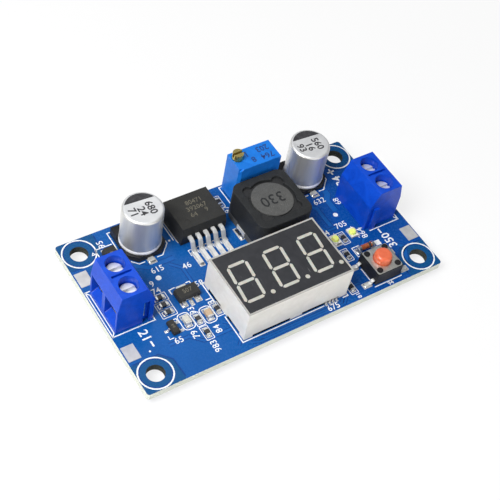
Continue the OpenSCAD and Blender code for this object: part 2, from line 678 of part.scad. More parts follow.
module switch_button() color("orangered") at_switch() {
    rotate_extrude() polygon(concat([[0, cap_flange_z], [cap_flange_d / 2, cap_flange_z],
        [cap_flange_d / 2, cover_z - 0.02], [button_cap_d / 2, cover_z - 0.02]],
        [for (a = [0:15:90]) [button_cap_d / 2 - cap_round * (1 - cos(a)),
            button_case_h + button_cap_h - cap_round * (1 - sin(a))]],
        [[0, button_case_h + button_cap_h]]));
    translate([0, 0, well_z + dome_h + button_travel + stem_gap])
        cylinder(d = stem_d, h = cap_flange_z - well_z - dome_h - button_travel);
}

module switch_dome() color("gainsboro") at_switch() translate([0, 0, well_z])
    rotate_extrude() polygon([[0, dome_h - dome_t], [dome_d / 4, dome_h * 0.8 - dome_t],
        [dome_d / 2 - 0.15, 0], [dome_d / 2, 0], [dome_d / 2, dome_t], [dome_d / 4, dome_h * 0.8],
        [0, dome_h]]);

module switch_legs() color("silver") at_switch() for (x = [0, 180], y = [-1, 1]) rotate(x)
    translate([button_case_w / 2, y * button_case_w * 0.375, 0])
        bent_strip([[0, 0.9], [0.25, 0.9], [0.5, 0.7], [0.62, 0.35], [0.9, leg_t / 2], [leg_reach, leg_t / 2]],
            leg_t, leg_w);

// ---- diodes, small transistors and regulators ----
diode_l = 4.3;
diode_h = 2.2;
module at_power_diode() on_board(diode_x, diode_y) rotate(90) children();
module power_diode_body() color("#2a2725") at_power_diode() translate([0, 0, 0.15])
    moulded_body(diode_l, diode_w, diode_h - 0.15, 0.25);
module power_diode_leads() color("silver") at_power_diode() for (a = [0, 180]) rotate(a)
    bent_strip([[diode_l / 2, 1.1], [diode_l / 2 + 0.3, 1], [diode_l / 2 + 0.32, 0.4],
        [diode_l / 2 + 0.1, 0.075], [diode_l / 2 - 0.9, 0.075]], 0.15, 1.5);

melf_d = 1.3;
melf_l = 3.5;
melf_cap = 0.5;
melf_step = 0.15;                            // glass narrower than its caps
module at_glass_diode() on_board(right_bay(0.8), disp_front + 7.5) translate([0, 0, melf_d / 2])
    rotate([0, 90, 0]) children();
module glass_diode_tube() color("chocolate") at_glass_diode()
    cylinder(d = melf_d - melf_step, h = melf_l - 2 * melf_cap, center = true);
module glass_diode_caps() color("silver") at_glass_diode() for (a = [0, 180]) rotate([a, 0, 0])
    translate([0, 0, melf_l / 2 - melf_cap]) cylinder(d = melf_d, h = melf_cap);

ldo_l = 4.5;
ldo_w = 2.5;
ldo_h = 1.5;
module at_ldo() on_board(left_bay(0.665), disp_back - 0.6) children();
ldo_pitch = 1.5;
ldo_lead_t = 0.4;
ldo_lead_w = 0.48;
ldo_lead_out = 1;                            // leads ahead of the body
ldo_lead_in = 0.7;                           // leads inside the body
ldo_tab_w = 1.7;
ldo_tab_out = 0.8;                           // tab behind the body

// Heat tab and leads of the small regulator, from z up
module ldo_frame(z = 0) {
    translate([0, ldo_tab_out / 2, 0]) block(ldo_tab_w, ldo_w + ldo_tab_out, ldo_lead_t - z, z);
    for (i = [-1:1]) translate([i * ldo_pitch, (ldo_lead_in - ldo_w - ldo_lead_out) / 2, 0])
        block(ldo_lead_w, ldo_lead_in + ldo_lead_out, ldo_lead_t - z, z);
}
module ldo_body() color("#262422") at_ldo() difference() {
    moulded_body(ldo_l, ldo_w, ldo_h, 0.12);
    ldo_frame(-1);
}
module ldo_leads() color("silver") at_ldo() ldo_frame();

module at_transistor() on_board(left_bay(0.178), disp_front + 7.9) children();
tran_l = 1.4;
tran_w = 2.9;
tran_h = 1.05;
tran_foot = 0.1;                             // body above the board
tran_pitch = 1.9;                            // between the two leads on one side
module transistor_body() color("#262422") at_transistor() translate([0, 0, tran_foot])
    moulded_body(tran_l, tran_w, tran_h - tran_foot, 0.1);
module transistor_lead() translate([tran_l / 2, 0, 0]) gull_lead(0.5, 0.65, 0.35, 0.15, 0.4);
module transistor_leads() color("silver") at_transistor() {
    for (s = [-1, 1]) translate([0, s * tran_pitch / 2, 0]) transistor_lead();
    rotate(180) transistor_lead();
}

// ---- chip parts: place, angle; length, width and height by kind ----
chip_end = 0.35;                             // metal end cap of a chip part
function spot(x, y, a = 90) = [x, y, a];
resistor_size = [1.6, 0.85, 0.5];
resistor_spots = [
    spot(left_bay(0.27), disp_front + 14.9, 0), spot(left_bay(0.26), disp_front + 13.15, 0),
    spot(left_bay(0.26), disp_front + 11.4, 0),
    spot(left_bay(0.592), disp_front + 7.7), spot(left_bay(0.59), disp_front + 4.45),
    spot(disp_left - 0.75, disp_front + 8.1), spot(right_bay(0.15), disp_front + 0.9),
    spot(right_bay(0.46), disp_front + 7.7), spot(right_bay(0.603), disp_front + 11.5),
    spot((reg_x + reg_w / 2 + trim_x - trim_l / 2) / 2, reg_y + 6.5)];
capacitor_size = [2, 1.25, 0.85];
capacitor_spots = [spot(left_bay(0.42), disp_front + 8.3), spot(left_bay(0.77), disp_front + 7.8)];
led_size = [2.2, 1.6, 0.4];                  // white plate under a light
led_lens_d = 1.6;
led_lens_top = 1.2;
led_lens_h = 0.5;
led_spots = [spot(right_bay(0.456), disp_front + 11.8), spot(right_bay(0.79), disp_front + 11.8)];

module each_spot(spots) for (p = spots) on_board(p.x, p.y) rotate(p.z) children();
module chip_middle(s) block(s.x - 2 * chip_end, s.y, s.z);
module chip_ends(s) for (a = [0, 180]) rotate(a) translate([s.x / 2 - chip_end / 2, 0, 0])
    block(chip_end, s.y, s.z);

module chip_resistor_bodies() color("#2d2d30") each_spot(resistor_spots) chip_middle(resistor_size);
module chip_resistor_ends() color("silver") each_spot(resistor_spots) chip_ends(resistor_size);
module chip_capacitor_bodies() color("tan") each_spot(capacitor_spots) chip_middle(capacitor_size);
module chip_capacitor_ends() color("silver") each_spot(capacitor_spots) chip_ends(capacitor_size);
module led_bases() color("white") each_spot(led_spots) block(led_size.x, led_size.y, led_size.z);
module led_lenses() color("greenyellow") each_spot(led_spots) translate([0, 0, led_size.z])
    cylinder(d1 = led_lens_d, d2 = led_lens_top, h = led_lens_h);

circuit_board();
wire_pads();
solder_joints();
in_terminal_housing();
in_terminal_contacts();
in_plus_screw();
in_minus_screw();
in_plus_guard();
in_minus_guard();
out_terminal_housing();
out_terminal_contacts();
out_plus_screw();
out_minus_screw();
out_plus_guard();
out_minus_guard();
in_cap_base();
in_cap_can();
in_cap_tabs();
out_cap_base();
out_cap_can();
out_cap_tabs();
regulator_body();
regulator_tab();
regulator_leads();
inductor_core();
inductor_winding();
inductor_shield();
inductor_clips();
trimmer_body();
trimmer_screw();
trimmer_pins();
display_housing();
display_face();
display_segments();
display_pins();
controller_body();
controller_leads();
resistor_array_bodies();
resistor_array_ends();
switch_base();
switch_cover();
switch_button();
switch_dome();
switch_legs();
power_diode_body();
power_diode_leads();
glass_diode_tube();
glass_diode_caps();
ldo_body();
ldo_leads();
transistor_body();
transistor_leads();
chip_resistor_bodies();
chip_resistor_ends();
chip_capacitor_bodies();
chip_capacitor_ends();
led_lenses();
led_bases();
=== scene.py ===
"""Looks of the step-down converter module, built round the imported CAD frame.

Shapes are written in millimetres and turned into metres where an object is made.
"""
import json
import math

import bpy
from mathutils import Matrix, Vector


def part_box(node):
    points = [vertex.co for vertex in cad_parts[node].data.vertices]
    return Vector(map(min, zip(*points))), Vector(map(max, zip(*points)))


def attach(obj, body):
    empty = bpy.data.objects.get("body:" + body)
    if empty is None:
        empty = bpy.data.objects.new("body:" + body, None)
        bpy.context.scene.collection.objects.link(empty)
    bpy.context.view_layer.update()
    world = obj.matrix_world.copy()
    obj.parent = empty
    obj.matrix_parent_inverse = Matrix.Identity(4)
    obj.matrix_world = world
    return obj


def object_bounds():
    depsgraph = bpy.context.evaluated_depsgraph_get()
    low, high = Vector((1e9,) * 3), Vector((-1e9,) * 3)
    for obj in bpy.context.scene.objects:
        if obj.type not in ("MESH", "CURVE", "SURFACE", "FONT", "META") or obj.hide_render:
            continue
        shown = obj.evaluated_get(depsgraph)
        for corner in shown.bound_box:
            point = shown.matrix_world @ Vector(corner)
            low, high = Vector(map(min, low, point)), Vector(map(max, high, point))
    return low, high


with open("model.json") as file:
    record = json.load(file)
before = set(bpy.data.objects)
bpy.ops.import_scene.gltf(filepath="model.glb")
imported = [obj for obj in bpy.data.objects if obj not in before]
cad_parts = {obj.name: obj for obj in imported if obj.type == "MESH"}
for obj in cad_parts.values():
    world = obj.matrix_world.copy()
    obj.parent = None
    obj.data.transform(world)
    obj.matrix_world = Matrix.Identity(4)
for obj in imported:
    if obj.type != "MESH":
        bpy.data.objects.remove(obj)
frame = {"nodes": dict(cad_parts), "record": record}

MM = 0.001
cad_lo, cad_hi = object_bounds()


# ---------------------------------------------------------------- places

def box(node):
    """Lowest and highest corner of a CAD node, in mm."""
    lo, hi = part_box(node)
    return lo / MM, hi / MM


def islands(node):
    """Lowest and highest corner, in mm, of each separate solid of a CAD node."""
    mesh = frame["nodes"][node].data
    parent = list(range(len(mesh.vertices)))

    def root(i):
        while parent[i] != i:
            parent[i] = parent[parent[i]]
            i = parent[i]
        return i

    seen = {}
    for v in mesh.vertices:
        key = tuple(round(c * 1e6) for c in v.co)       # the same place to the micrometre
        parent[root(v.index)] = root(seen.setdefault(key, v.index))
    for p in mesh.polygons:
        for i in p.vertices[1:]:
            parent[root(i)] = root(p.vertices[0])
    groups = {}
    for v in mesh.vertices:
        groups.setdefault(root(v.index), []).append(v.co / MM)
    return sorted(
        (tuple(min(c[k] for c in g) for k in range(3)), tuple(max(c[k] for c in g) for k in range(3)))
        for g in groups.values())


def middle(lo, hi):
    """Middle of a box, seen from above."""
    return (lo[0] + hi[0]) / 2, (lo[1] + hi[1]) / 2


board_lo, board_hi = box("circuit_board")
TOP, BOTTOM = board_hi.z, board_lo.z
EDGE_X, EDGE_Y = board_hi.x, board_hi.y
hole_grid = frame["record"]["mounts"][0]["dims"]
HOLE_X, HOLE_Y = hole_grid["spacing_x_mm"] / 2, hole_grid["spacing_y_mm"] / 2
HOLES = [(x * HOLE_X, y * HOLE_Y) for x in (-1, 1) for y in (-1, 1)]
BLOCKS = ("in_terminal_housing", "out_terminal_housing")
CAPS = ("in_cap", "out_cap")
POLES = ("in_plus", "in_minus", "out_plus", "out_minus")


# ---------------------------------------------------------------- material nodes

def shader_mix(tree, fac, first, second):
    """First shader where fac is nought, second where it is one."""
    n = tree.nodes.new("ShaderNodeMixShader")
    for socket, source in zip(n.inputs, (fac, first, second)):
        tree.links.new(source, socket)
    return n.outputs[0]


class Look:
    """A procedural material. Texture coordinates are metres in the shared frame."""

    def __init__(self, name):
        self.mat = bpy.data.materials.new(name)
        self.mat.use_nodes = True
        self.tree = self.mat.node_tree
        self.shader = self.tree.nodes["Principled BSDF"]
        self.place = self.add("ShaderNodeTexCoord").outputs["Object"]

    def add(self, kind, settings=(), **inputs):
        n = self.tree.nodes.new(kind)
        for k, v in dict(settings).items():
            setattr(n, k, v)
        for k, v in inputs.items():
            self.feed(n.inputs[k.replace("_", " ")], v)
        return n

    def feed(self, socket, v):
        if isinstance(v, bpy.types.NodeSocket):
            self.tree.links.new(v, socket)
        elif hasattr(socket.default_value, "__len__") and not hasattr(v, "__len__"):
            socket.default_value = [v] * len(socket.default_value)
        else:
            socket.default_value = v

    def set(self, **values):
        """Feeds the shader's own inputs."""
        for k, v in values.items():
            self.feed(self.shader.inputs[k.replace("_", " ")], v)
        return self

    def stretched(self, scale=(1, 1, 1), turn=(0, 0, 0), offset=(0, 0, 0)):
        m = self.add("ShaderNodeMapping", Vector=self.place)
        m.inputs["Scale"].default_value = scale
        m.inputs["Rotation"].default_value = [math.radians(a) for a in turn]
        m.inputs["Location"].default_value = offset
        return m.outputs["Vector"]

    def centred(self, x, y, z=0):
        """Coordinates counted from a point given in mm."""
        return self.stretched(offset=(-x * MM, -y * MM, -z * MM))

    def xyz(self, vector=None):
        """The three parts of a vector, or of the place in the shared frame."""
        split = self.add("ShaderNodeSeparateXYZ", Vector=vector or self.place)
        return [split.outputs[axis] for axis in "XYZ"]

    def noise(self, per_mm, detail=4.0, rough=0.55, at=None, warp=0.0):
        """Noise with about so many waves a millimetre."""
        n = self.add("ShaderNodeTexNoise", Vector=at or self.place, Scale=per_mm / MM,
                     Detail=detail, Roughness=rough, Distortion=warp)
        return n.outputs["Fac"]

    def cells(self, per_mm):
        return self.add("ShaderNodeTexVoronoi", Vector=self.place, Scale=per_mm / MM).outputs["Distance"]

    def ramp(self, fac, low, high, at=(0.3, 0.7)):
        """Two colours or greys, and the two values between which they blend."""
        n = self.add("ShaderNodeValToRGB", Fac=fac)
        for element, position, colour in zip(n.color_ramp.elements, at, (low, high)):
            element.position = position
            element.color = (*(colour if hasattr(colour, "__len__") else [colour] * 3), 1)
        return n.outputs["Color"]

    def spread(self, fac, lo, hi, from_lo=0.3, from_hi=0.7):
        """A value carried from one range to another, and held at its ends."""
        n = self.add("ShaderNodeMapRange", Value=fac)
        for key, v in {"From Min": from_lo, "From Max": from_hi, "To Min": lo, "To Max": hi}.items():
            n.inputs[key].default_value = v
        return n.outputs["Result"]

    def maths(self, operation, a, b=0.0):
        n = self.add("ShaderNodeMath", {"operation": operation})
        self.feed(n.inputs[0], a)
        self.feed(n.inputs[1], b)
        return n.outputs[0]

    def more(self, a, b):
        return self.maths("GREATER_THAN", a, b)

    def less(self, a, b):
        return self.maths("LESS_THAN", a, b)

    def size(self, a):
        return self.maths("ABSOLUTE", a)

    def times(self, a, b):
        return self.maths("MULTIPLY", a, b)

    def plus(self, a, b):
        return self.maths("ADD", a, b)

    def mix(self, fac, a, b):
        n = self.add("ShaderNodeMix", {"data_type": "RGBA"})
        self.feed(n.inputs[0], fac)
        for socket, v in ((n.inputs[6], a), (n.inputs[7], b)):
            self.feed(socket, v if isinstance(v, bpy.types.NodeSocket) else (*v, 1))
        return n.outputs[2]

    def bump(self, height, depth, over=None):
        """A bump of that depth in mm, on top of another bump if one is given."""
        n = self.add("ShaderNodeBump", Height=height, Distance=depth * MM)
        if over is not None:
            self.feed(n.inputs["Normal"], over)
        return n.outputs["Normal"]


# ---------------------------------------------------------------- materials

def plain(name, dark, light, rough, grain=0.6, fine=9.0, depth=0.01, metal=0.0, **extra):
    """A material with slow colour drift, fine grain in its gloss and a shallow bump."""
    m = Look(name)
    slow, quick = m.noise(grain), m.noise(fine, 6.0, 0.6)
    m.set(Base_Color=m.ramp(slow, dark, light), Roughness=m.spread(quick, *rough),
          Metallic=metal, Normal=m.bump(quick, depth))
    return m.set(**extra).mat


SAWN = 0.7                                  # how far in the sawn rim is told from the faces
SHADE_FROM, SHADE_TO = 10, 21             # where the mask is painted darker towards the output, along X, as painted shade
BARE_X, BARE_Y, BARE_CUT = 4.3, 3.2, 5.45   # bare corner inwards from a mounting hole, and its cut


def board_look():
    """Solder mask on the two faces, glass and resin on the rim; painted shade on the hole walls, under the
    display and towards the output.
    """
    m = Look("solder_mask")
    x, y, z = m.xyz()
    upright = m.xyz(m.add("ShaderNodeNewGeometry").outputs["True Normal"])[2]
    facing = m.more(m.size(upright), 0.7)               # a face that looks up or down
    rim = m.maths("MAXIMUM", m.more(m.size(x), (EDGE_X - SAWN) * MM), m.more(m.size(y), (EDGE_Y - SAWN) * MM))

    slow, mottle = m.noise(0.09, 3.0), m.noise(1.6, 5.0, 0.65)
    mask = m.mix(m.spread(mottle, 0.0, 0.09), m.ramp(slow, (0.004, 0.076, 0.290), (0.006, 0.092, 0.340)),
                 (0.009, 0.110, 0.400))
    # painted shade: the mask turns darker towards the output side, standing in for the light falling off
    # there
    output_shade = m.spread(m.plus(x, m.times(slow, 6 * MM)), 0.0, 0.75, SHADE_FROM * MM, SHADE_TO * MM)
    mask = m.mix(output_shade, mask, (0.003, 0.058, 0.285))

    out_x, out_y = (m.maths("SUBTRACT", m.size(c), hole * MM) for c, hole in ((x, HOLE_X), (y, HOLE_Y)))
    bare = m.times(m.more(out_x, -BARE_X * MM), m.more(out_y, -BARE_Y * MM))
    bare = m.times(bare, m.more(m.plus(out_x, out_y), -BARE_CUT * MM))
    mask = m.mix(m.times(bare, 0.9), mask, (0.005, 0.072, 0.205))

    # painted shade: the mask under the display housing is painted near black, where the housing shades the
    # board
    lo, hi = box("display_housing")
    under_display_shade = m.more(z, (TOP - 0.5) * MM)
    for c, mid, high in zip((x, y), middle(lo, hi), hi):
        under_display_shade = m.times(under_display_shade, m.less(m.size(m.maths("SUBTRACT", c, mid * MM)), (high - mid - 0.02) * MM))
    mask = m.mix(under_display_shade, mask, m.ramp(mottle, (0.001, 0.003, 0.010), (0.002, 0.006, 0.018)))

    ply = m.noise(3.5, 2.0, 0.5, m.stretched((0.2, 0.2, 1.6)))
    resin = m.ramp(ply, (0.60, 0.62, 0.54), (0.76, 0.78, 0.70), (0.2, 0.8))
    # painted shade: the hole walls are painted near black, standing in for the shadow inside the holes
    hole_shade = m.ramp(ply, (0.020, 0.024, 0.022), (0.070, 0.075, 0.060), (0.35, 0.65))
    m.set(Base_Color=m.mix(facing, m.mix(rim, hole_shade, resin), mask),
          Roughness=m.mix(facing, (0.75, 0.75, 0.75), m.ramp(mottle, 0.20, 0.34)),
          Specular_IOR_Level=0.16,
          Normal=m.bump(m.noise(5.0, 3.0), 0.003, over=m.bump(m.noise(0.5, 2.0), 0.02)))
    return m.mat


def metal_look(name, dark, light, rough, wipe=(1, 1, 1), stain=0.25, depth=0.006):
    """Metal with wipe marks, and dull patches where it has been handled or soldered."""
    m = Look(name)
    lines = m.noise(6.0, 4.0, 0.6, m.stretched(wipe))
    patch = m.noise(0.9, 3.0, 0.5, warp=1.0)
    m.set(Base_Color=m.mix(m.spread(patch, 0.0, stain, 0.5, 0.75), m.ramp(lines, dark, light),
                           [c * 0.55 for c in dark]),
          Roughness=m.plus(m.spread(lines, *rough), m.spread(patch, 0.0, 0.12, 0.5, 0.75)),
          Metallic=1.0, Normal=m.bump(lines, depth))
    return m.mat


def moulding_look(name, dark, light, rough=(0.26, 0.42), scuff=0.5, depth=0.012, **extra):
    """Moulded plastic: flow marks, an orange-peel skin, and fine pale scuffs."""
    m = Look(name)
    swirl, skin = m.noise(0.35, 4.0, 0.55, warp=1.5), m.noise(4.0, 5.0, 0.6)
    lines = m.noise(3.0, 3.0, 0.5, m.stretched((1.0, 0.12, 0.4), (0, 0, 28)))
    mark = m.times(m.spread(lines, 0.0, 1.0, 0.66, 0.74), m.spread(m.noise(0.3, 2.0), 0.0, scuff, 0.5, 0.7))
    pale = [min(1.0, 0.35 + 0.65 * c) for c in light]
    m.set(Base_Color=m.mix(mark, m.ramp(swirl, dark, light), pale),
          Roughness=m.plus(m.spread(skin, *rough), m.times(mark, 0.3)),
          Normal=m.bump(skin, depth, over=m.bump(swirl, depth * 2)))
    return m.set(**extra).mat


def grain_look(name, dark, light, rough=(0.5, 0.7), per_mm=7.0, depth=0.02, fleck=None, spec=0.4):
    """Filled epoxy or pressed ferrite: a sandy skin, with scattered flecks if they have a colour."""
    m = Look(name)
    sand, drift = m.noise(per_mm, 8.0, 0.7), m.noise(0.5, 3.0)
    base = m.mix(m.spread(drift, 0.0, 0.5), m.ramp(sand, dark, light, (0.32, 0.68)), dark)
    if fleck:
        base = m.mix(m.times(m.less(m.cells(per_mm * 0.35), 0.11), 0.5), base, fleck)
    m.set(Base_Color=base, Roughness=m.spread(sand, *rough), Normal=m.bump(sand, depth),
          Specular_IOR_Level=spec)
    return m.mat


def screw_look(name, x, y):
    """Plated screw with turned rings about its own axis, and grime in patches."""
    m = Look(name)
    rings = m.add("ShaderNodeTexWave", {"wave_type": "RINGS", "rings_direction": "Z"}, Vector=m.centred(x, y),
                  Scale=1.9 / MM, Distortion=1.5, Detail=3.0).outputs["Fac"]
    grime = m.spread(m.noise(1.1, 5.0, 0.6, warp=0.8), 0.0, 0.5, 0.55, 0.78)
    m.set(Base_Color=m.mix(grime, m.ramp(rings, 0.76, 0.88, (0.0, 1.0)), (0.30, 0.28, 0.24)),
          Roughness=m.spread(m.noise(5.0, 5.0), 0.26, 0.46), Metallic=0.6, Normal=m.bump(rings, 0.004))
    return m.mat


FOOT_GLINT, LID = 0.75, 0.12       # heights of the band painted bright as a highlight on a can's rolled foot, and of its lid's edge


def can_look(name, x, y, foot, top):
    """Drawn aluminium: upright draw lines on the side, a rolled foot painted bright as a highlight, a softer
    brushed top.
    """
    m = Look(name)
    across, along, height = m.xyz(m.centred(x, y))
    round_it = m.times(m.maths("ARCTAN2", along, across), 4 * MM)
    wrap = m.add("ShaderNodeCombineXYZ", X=round_it, Y=m.times(height, 0.04))
    drawn, cloud = m.noise(3.0, 5.0, 0.6, wrap.outputs["Vector"]), m.noise(0.5, 4.0, 0.55)
    foot_glint, is_top = m.less(height, (foot + FOOT_GLINT) * MM), m.more(height, (top - LID) * MM)
    # painted highlight: the rolled foot is paler and less metallic, standing in for the light it catches
    side = m.mix(foot_glint, m.ramp(drawn, (0.77, 0.765, 0.74), (0.85, 0.845, 0.81), (0.25, 0.75)),
                 m.ramp(cloud, (0.88, 0.88, 0.89), (0.95, 0.95, 0.96)))
    m.set(Base_Color=m.mix(is_top, side, m.ramp(cloud, (0.80, 0.81, 0.83), (0.90, 0.91, 0.92))),
          Roughness=m.mix(is_top, m.ramp(drawn, 0.42, 0.52), m.ramp(cloud, 0.46, 0.56)),
          Metallic=m.spread(foot_glint, 0.85, 0.4, 0.0, 1.0),
          Normal=m.bump(drawn, 0.002, over=m.bump(cloud, 0.01)))
    return m.mat


def winding_look():
    """Enamelled wire, one turn above the other."""
    m = Look("copper_turns")
    turns = m.add("ShaderNodeTexWave", {"bands_direction": "Z"}, Vector=m.place, Scale=0.9 / MM,
                  Distortion=0.4).outputs["Fac"]
    m.set(Base_Color=m.ramp(turns, (0.10, 0.025, 0.008), (0.55, 0.20, 0.06), (0.0, 1.0)),
          Roughness=m.spread(m.noise(3.0), 0.25, 0.4), Metallic=0.6, Normal=m.bump(turns, 0.12))
    return m.mat


def glass_look():
    """Orange glass bead of the small diode."""
    m = Look("diode_glass")
    swirl = m.noise(1.2, 4.0, 0.5, warp=0.5)
    m.set(Base_Color=m.ramp(swirl, (0.30, 0.065, 0.020), (0.60, 0.170, 0.060)),
          Roughness=m.spread(m.noise(4.0), 0.05, 0.16), Coat_Weight=0.6, Coat_Roughness=0.06,
          Transmission_Weight=0.25, IOR=1.5, Normal=m.bump(swirl, 0.01))
    return m.mat


def lens_look():
    """Yellow-green resin of the two LEDs."""
    m = Look("led_resin")
    cloud = m.noise(1.4, 4.0, 0.6)
    m.set(Base_Color=m.ramp(cloud, (0.78, 0.90, 0.16), (0.92, 0.97, 0.32)),
          Roughness=m.spread(m.noise(5.0), 0.18, 0.34), Subsurface_Weight=0.35, Subsurface_Scale=0.4 * MM,
          Normal=m.bump(cloud, 0.02))
    return m.mat


def ceramic_look():
    """Chip capacitor bodies: a tan one towards the display, a pale grey one beside it."""
    m = Look("capacitor_ceramic")
    spots = islands("chip_capacitor_bodies")
    parting = sum(middle(*s)[0] for s in spots) / len(spots) * MM
    sand = m.noise(5.0, 6.0, 0.6)
    tan = m.ramp(sand, (0.36, 0.25, 0.15), (0.54, 0.40, 0.27))
    grey = m.ramp(sand, (0.46, 0.45, 0.40), (0.62, 0.61, 0.55))
    m.set(Base_Color=m.mix(m.more(m.xyz()[0], parting), grey, tan),
          Roughness=m.spread(sand, 0.4, 0.55), Normal=m.bump(sand, 0.01))
    return m.mat


def housing_look():
    """White display shell with a grey rim, and painted shade, near black, inside its openings."""
    m = Look("display_white")
    lo, hi = box("display_housing")
    cx, cy = middle(lo, hi)
    x, y, z = m.xyz(m.centred(cx, cy, TOP))
    # painted shade: inside the openings under the shell the colour is painted near black
    slot_shade = m.less(z, 1.2 * MM)
    for c, half in ((x, (hi.x - lo.x) / 2), (y, (hi.y - lo.y) / 2)):
        slot_shade = m.times(slot_shade, m.less(m.size(c), (half - 0.06) * MM))
    swirl, skin = m.noise(0.35, 4.0, 0.55, warp=1.5), m.noise(4.0, 5.0, 0.6)
    shell = m.ramp(swirl, (0.755, 0.728, 0.665), (0.830, 0.805, 0.745))
    dark_fill = m.ramp(skin, (0.008, 0.008, 0.009), (0.020, 0.020, 0.022))
    rim = m.more(z, (hi.z - TOP - 0.1) * MM)
    shell = m.mix(m.times(rim, m.spread(swirl, 0.55, 0.8)), shell, (0.22, 0.22, 0.22))
    m.set(Base_Color=m.mix(slot_shade, shell, dark_fill), Roughness=m.spread(skin, 0.34, 0.5),
          Normal=m.bump(skin, 0.012, over=m.bump(swirl, 0.024)),
          Subsurface_Weight=0.05, Subsurface_Scale=0.4 * MM)
    return m.mat


def floor_look():
    """Pale studio floor, lifted towards white for the camera and clear from below."""
    m = Look("studio_floor")
    m.set(Base_Color=m.ramp(m.noise(0.02, 3.0), 0.86, 0.88), Roughness=0.9, Specular_IOR_Level=0.1)
    glow = m.add("ShaderNodeEmission", Strength=1.0, Color=(1, 1, 1, 1))
    path = m.add("ShaderNodeLightPath").outputs
    seen = m.maths("MAXIMUM", path["Is Camera Ray"],
                   m.maths("MAXIMUM", path["Is Glossy Ray"], path["Is Transmission Ray"]))
    away = m.add("ShaderNodeVectorMath", {"operation": "LENGTH"}, Vector=m.place).outputs["Value"]
    lifted = shader_mix(m.tree, m.times(seen, m.spread(away, 0.76, 1.0, 0.06, 0.30)),
                        m.shader.outputs[0], glow.outputs[0])
    one_way = shader_mix(m.tree, m.add("ShaderNodeNewGeometry").outputs["Backfacing"],
                         lifted, m.add("ShaderNodeBsdfTransparent").outputs[0])
    m.tree.links.new(one_way, m.tree.nodes["Material Output"].inputs["Surface"])
    return m.mat


TIN = metal_look("tinned_metal", (0.56, 0.56, 0.54), (0.80, 0.80, 0.77), (0.22, 0.40), (1, 0.3, 1))
SOLDER = metal_look("solder", (0.62, 0.62, 0.61), (0.86, 0.86, 0.84), (0.14, 0.30), stain=0.15, depth=0.02)
GUARD = metal_look("guard_steel", (0.40, 0.40, 0.40), (0.62, 0.62, 0.60), (0.28, 0.45), (0.2, 1, 1))
PLATE = metal_look("switch_plate", (0.58, 0.59, 0.55), (0.74, 0.75, 0.71), (0.30, 0.46), (1, 0.08, 1), 0.3)
BRASS = metal_look("brass", (0.46, 0.36, 0.11), (0.74, 0.62, 0.24), (0.22, 0.38), stain=0.5)
PAD = plain("tinned_copper", (0.50, 0.50, 0.50), (0.70, 0.70, 0.70), (0.32, 0.48), 0.9, 7.0, 0.012, 0.55)
WIRE_PAD = plain("wire_pad_tin", (0.50, 0.50, 0.51), (0.65, 0.65, 0.655), (0.36, 0.50), 0.5, 7.0, 0.006, 0.45)
LEAD = plain("plated_lead", (0.66, 0.66, 0.64), (0.84, 0.84, 0.82), (0.30, 0.44), 0.8, 7.0, 0.006, 0.45)
TERMINAL = moulding_look("terminal_blue", (0.001, 0.048, 0.450), (0.003, 0.070, 0.575), scuff=0.15,
                         Specular_IOR_Level=0.28)
TRIMMER = moulding_look("trimmer_blue", (0.006, 0.145, 0.580), (0.014, 0.195, 0.700), scuff=0.25,
                        Specular_IOR_Level=0.2)
BLACK = moulding_look("black_plastic", (0.007, 0.007, 0.008), (0.016, 0.016, 0.018), (0.34, 0.5), scuff=0.12,
                      Specular_IOR_Level=0.25)
DARK = moulding_look("display_ink", (0.022, 0.023, 0.027), (0.032, 0.033, 0.038), (0.30, 0.42), scuff=0.35,
                     depth=0.002, Specular_IOR_Level=0.35)
LIGHT_PIPE = moulding_look("segment_resin", (0.44, 0.43, 0.38), (0.56, 0.545, 0.49), (0.26, 0.40), scuff=0.1,
                           Subsurface_Weight=0.2, Subsurface_Scale=0.4 * MM)
RED = moulding_look("button_red", (0.66, 0.120, 0.050), (0.80, 0.190, 0.085), (0.26, 0.40), scuff=0.25,
                    Subsurface_Weight=0.1, Subsurface_Scale=0.5 * MM)
EPOXY = grain_look("mould_epoxy", (0.018, 0.018, 0.018), (0.048, 0.048, 0.044), (0.46, 0.66), spec=0.25)
FERRITE = grain_look("ferrite", (0.012, 0.013, 0.014), (0.034, 0.036, 0.038), (0.40, 0.60), 5.0, 0.03,
                     spec=0.25)
CORE = grain_look("core_ferrite", (0.060, 0.061, 0.060), (0.130, 0.130, 0.126), (0.46, 0.66), 5.5, 0.03,
                  fleck=(0.30, 0.30, 0.28), spec=0.3)
GLAZE = grain_look("resistor_glaze", (0.018, 0.018, 0.020), (0.045, 0.045, 0.050), (0.18, 0.34), 4.0, 0.01)
CERAMIC = grain_look("led_ceramic", (0.66, 0.65, 0.60), (0.82, 0.81, 0.77), (0.42, 0.6), 5.0, 0.01)
RESIN = grain_look("potting_resin", (0.012, 0.012, 0.013), (0.030, 0.031, 0.032), (0.30, 0.50), 3.0, 0.05)
SILK = plain("white_print", (0.70, 0.72, 0.74), (0.88, 0.89, 0.90), (0.45, 0.65), 1.5, 12.0, 0.012)
INK = plain("dark_print", (0.018, 0.018, 0.022), (0.050, 0.050, 0.055), (0.45, 0.65), 2.0, 10.0, 0.006)
LASER = plain("laser_mark", (0.085, 0.078, 0.058), (0.190, 0.175, 0.130), (0.6, 0.8), 3.0, 14.0, 0.01)
NAVY_INK = plain("navy_print", (0.006, 0.030, 0.150), (0.012, 0.050, 0.220), (0.45, 0.65), 2.0, 10.0, 0.006)
TRACE = plain("mask_over_copper", (0.006, 0.088, 0.330), (0.010, 0.104, 0.380), (0.18, 0.30), 0.3, 6.0, 0.006,
              Specular_IOR_Level=0.16)
BARE = plain("mask_over_resin", (0.003, 0.040, 0.190), (0.005, 0.052, 0.235), (0.20, 0.34), 0.3, 6.0, 0.006,
             Specular_IOR_Level=0.16)

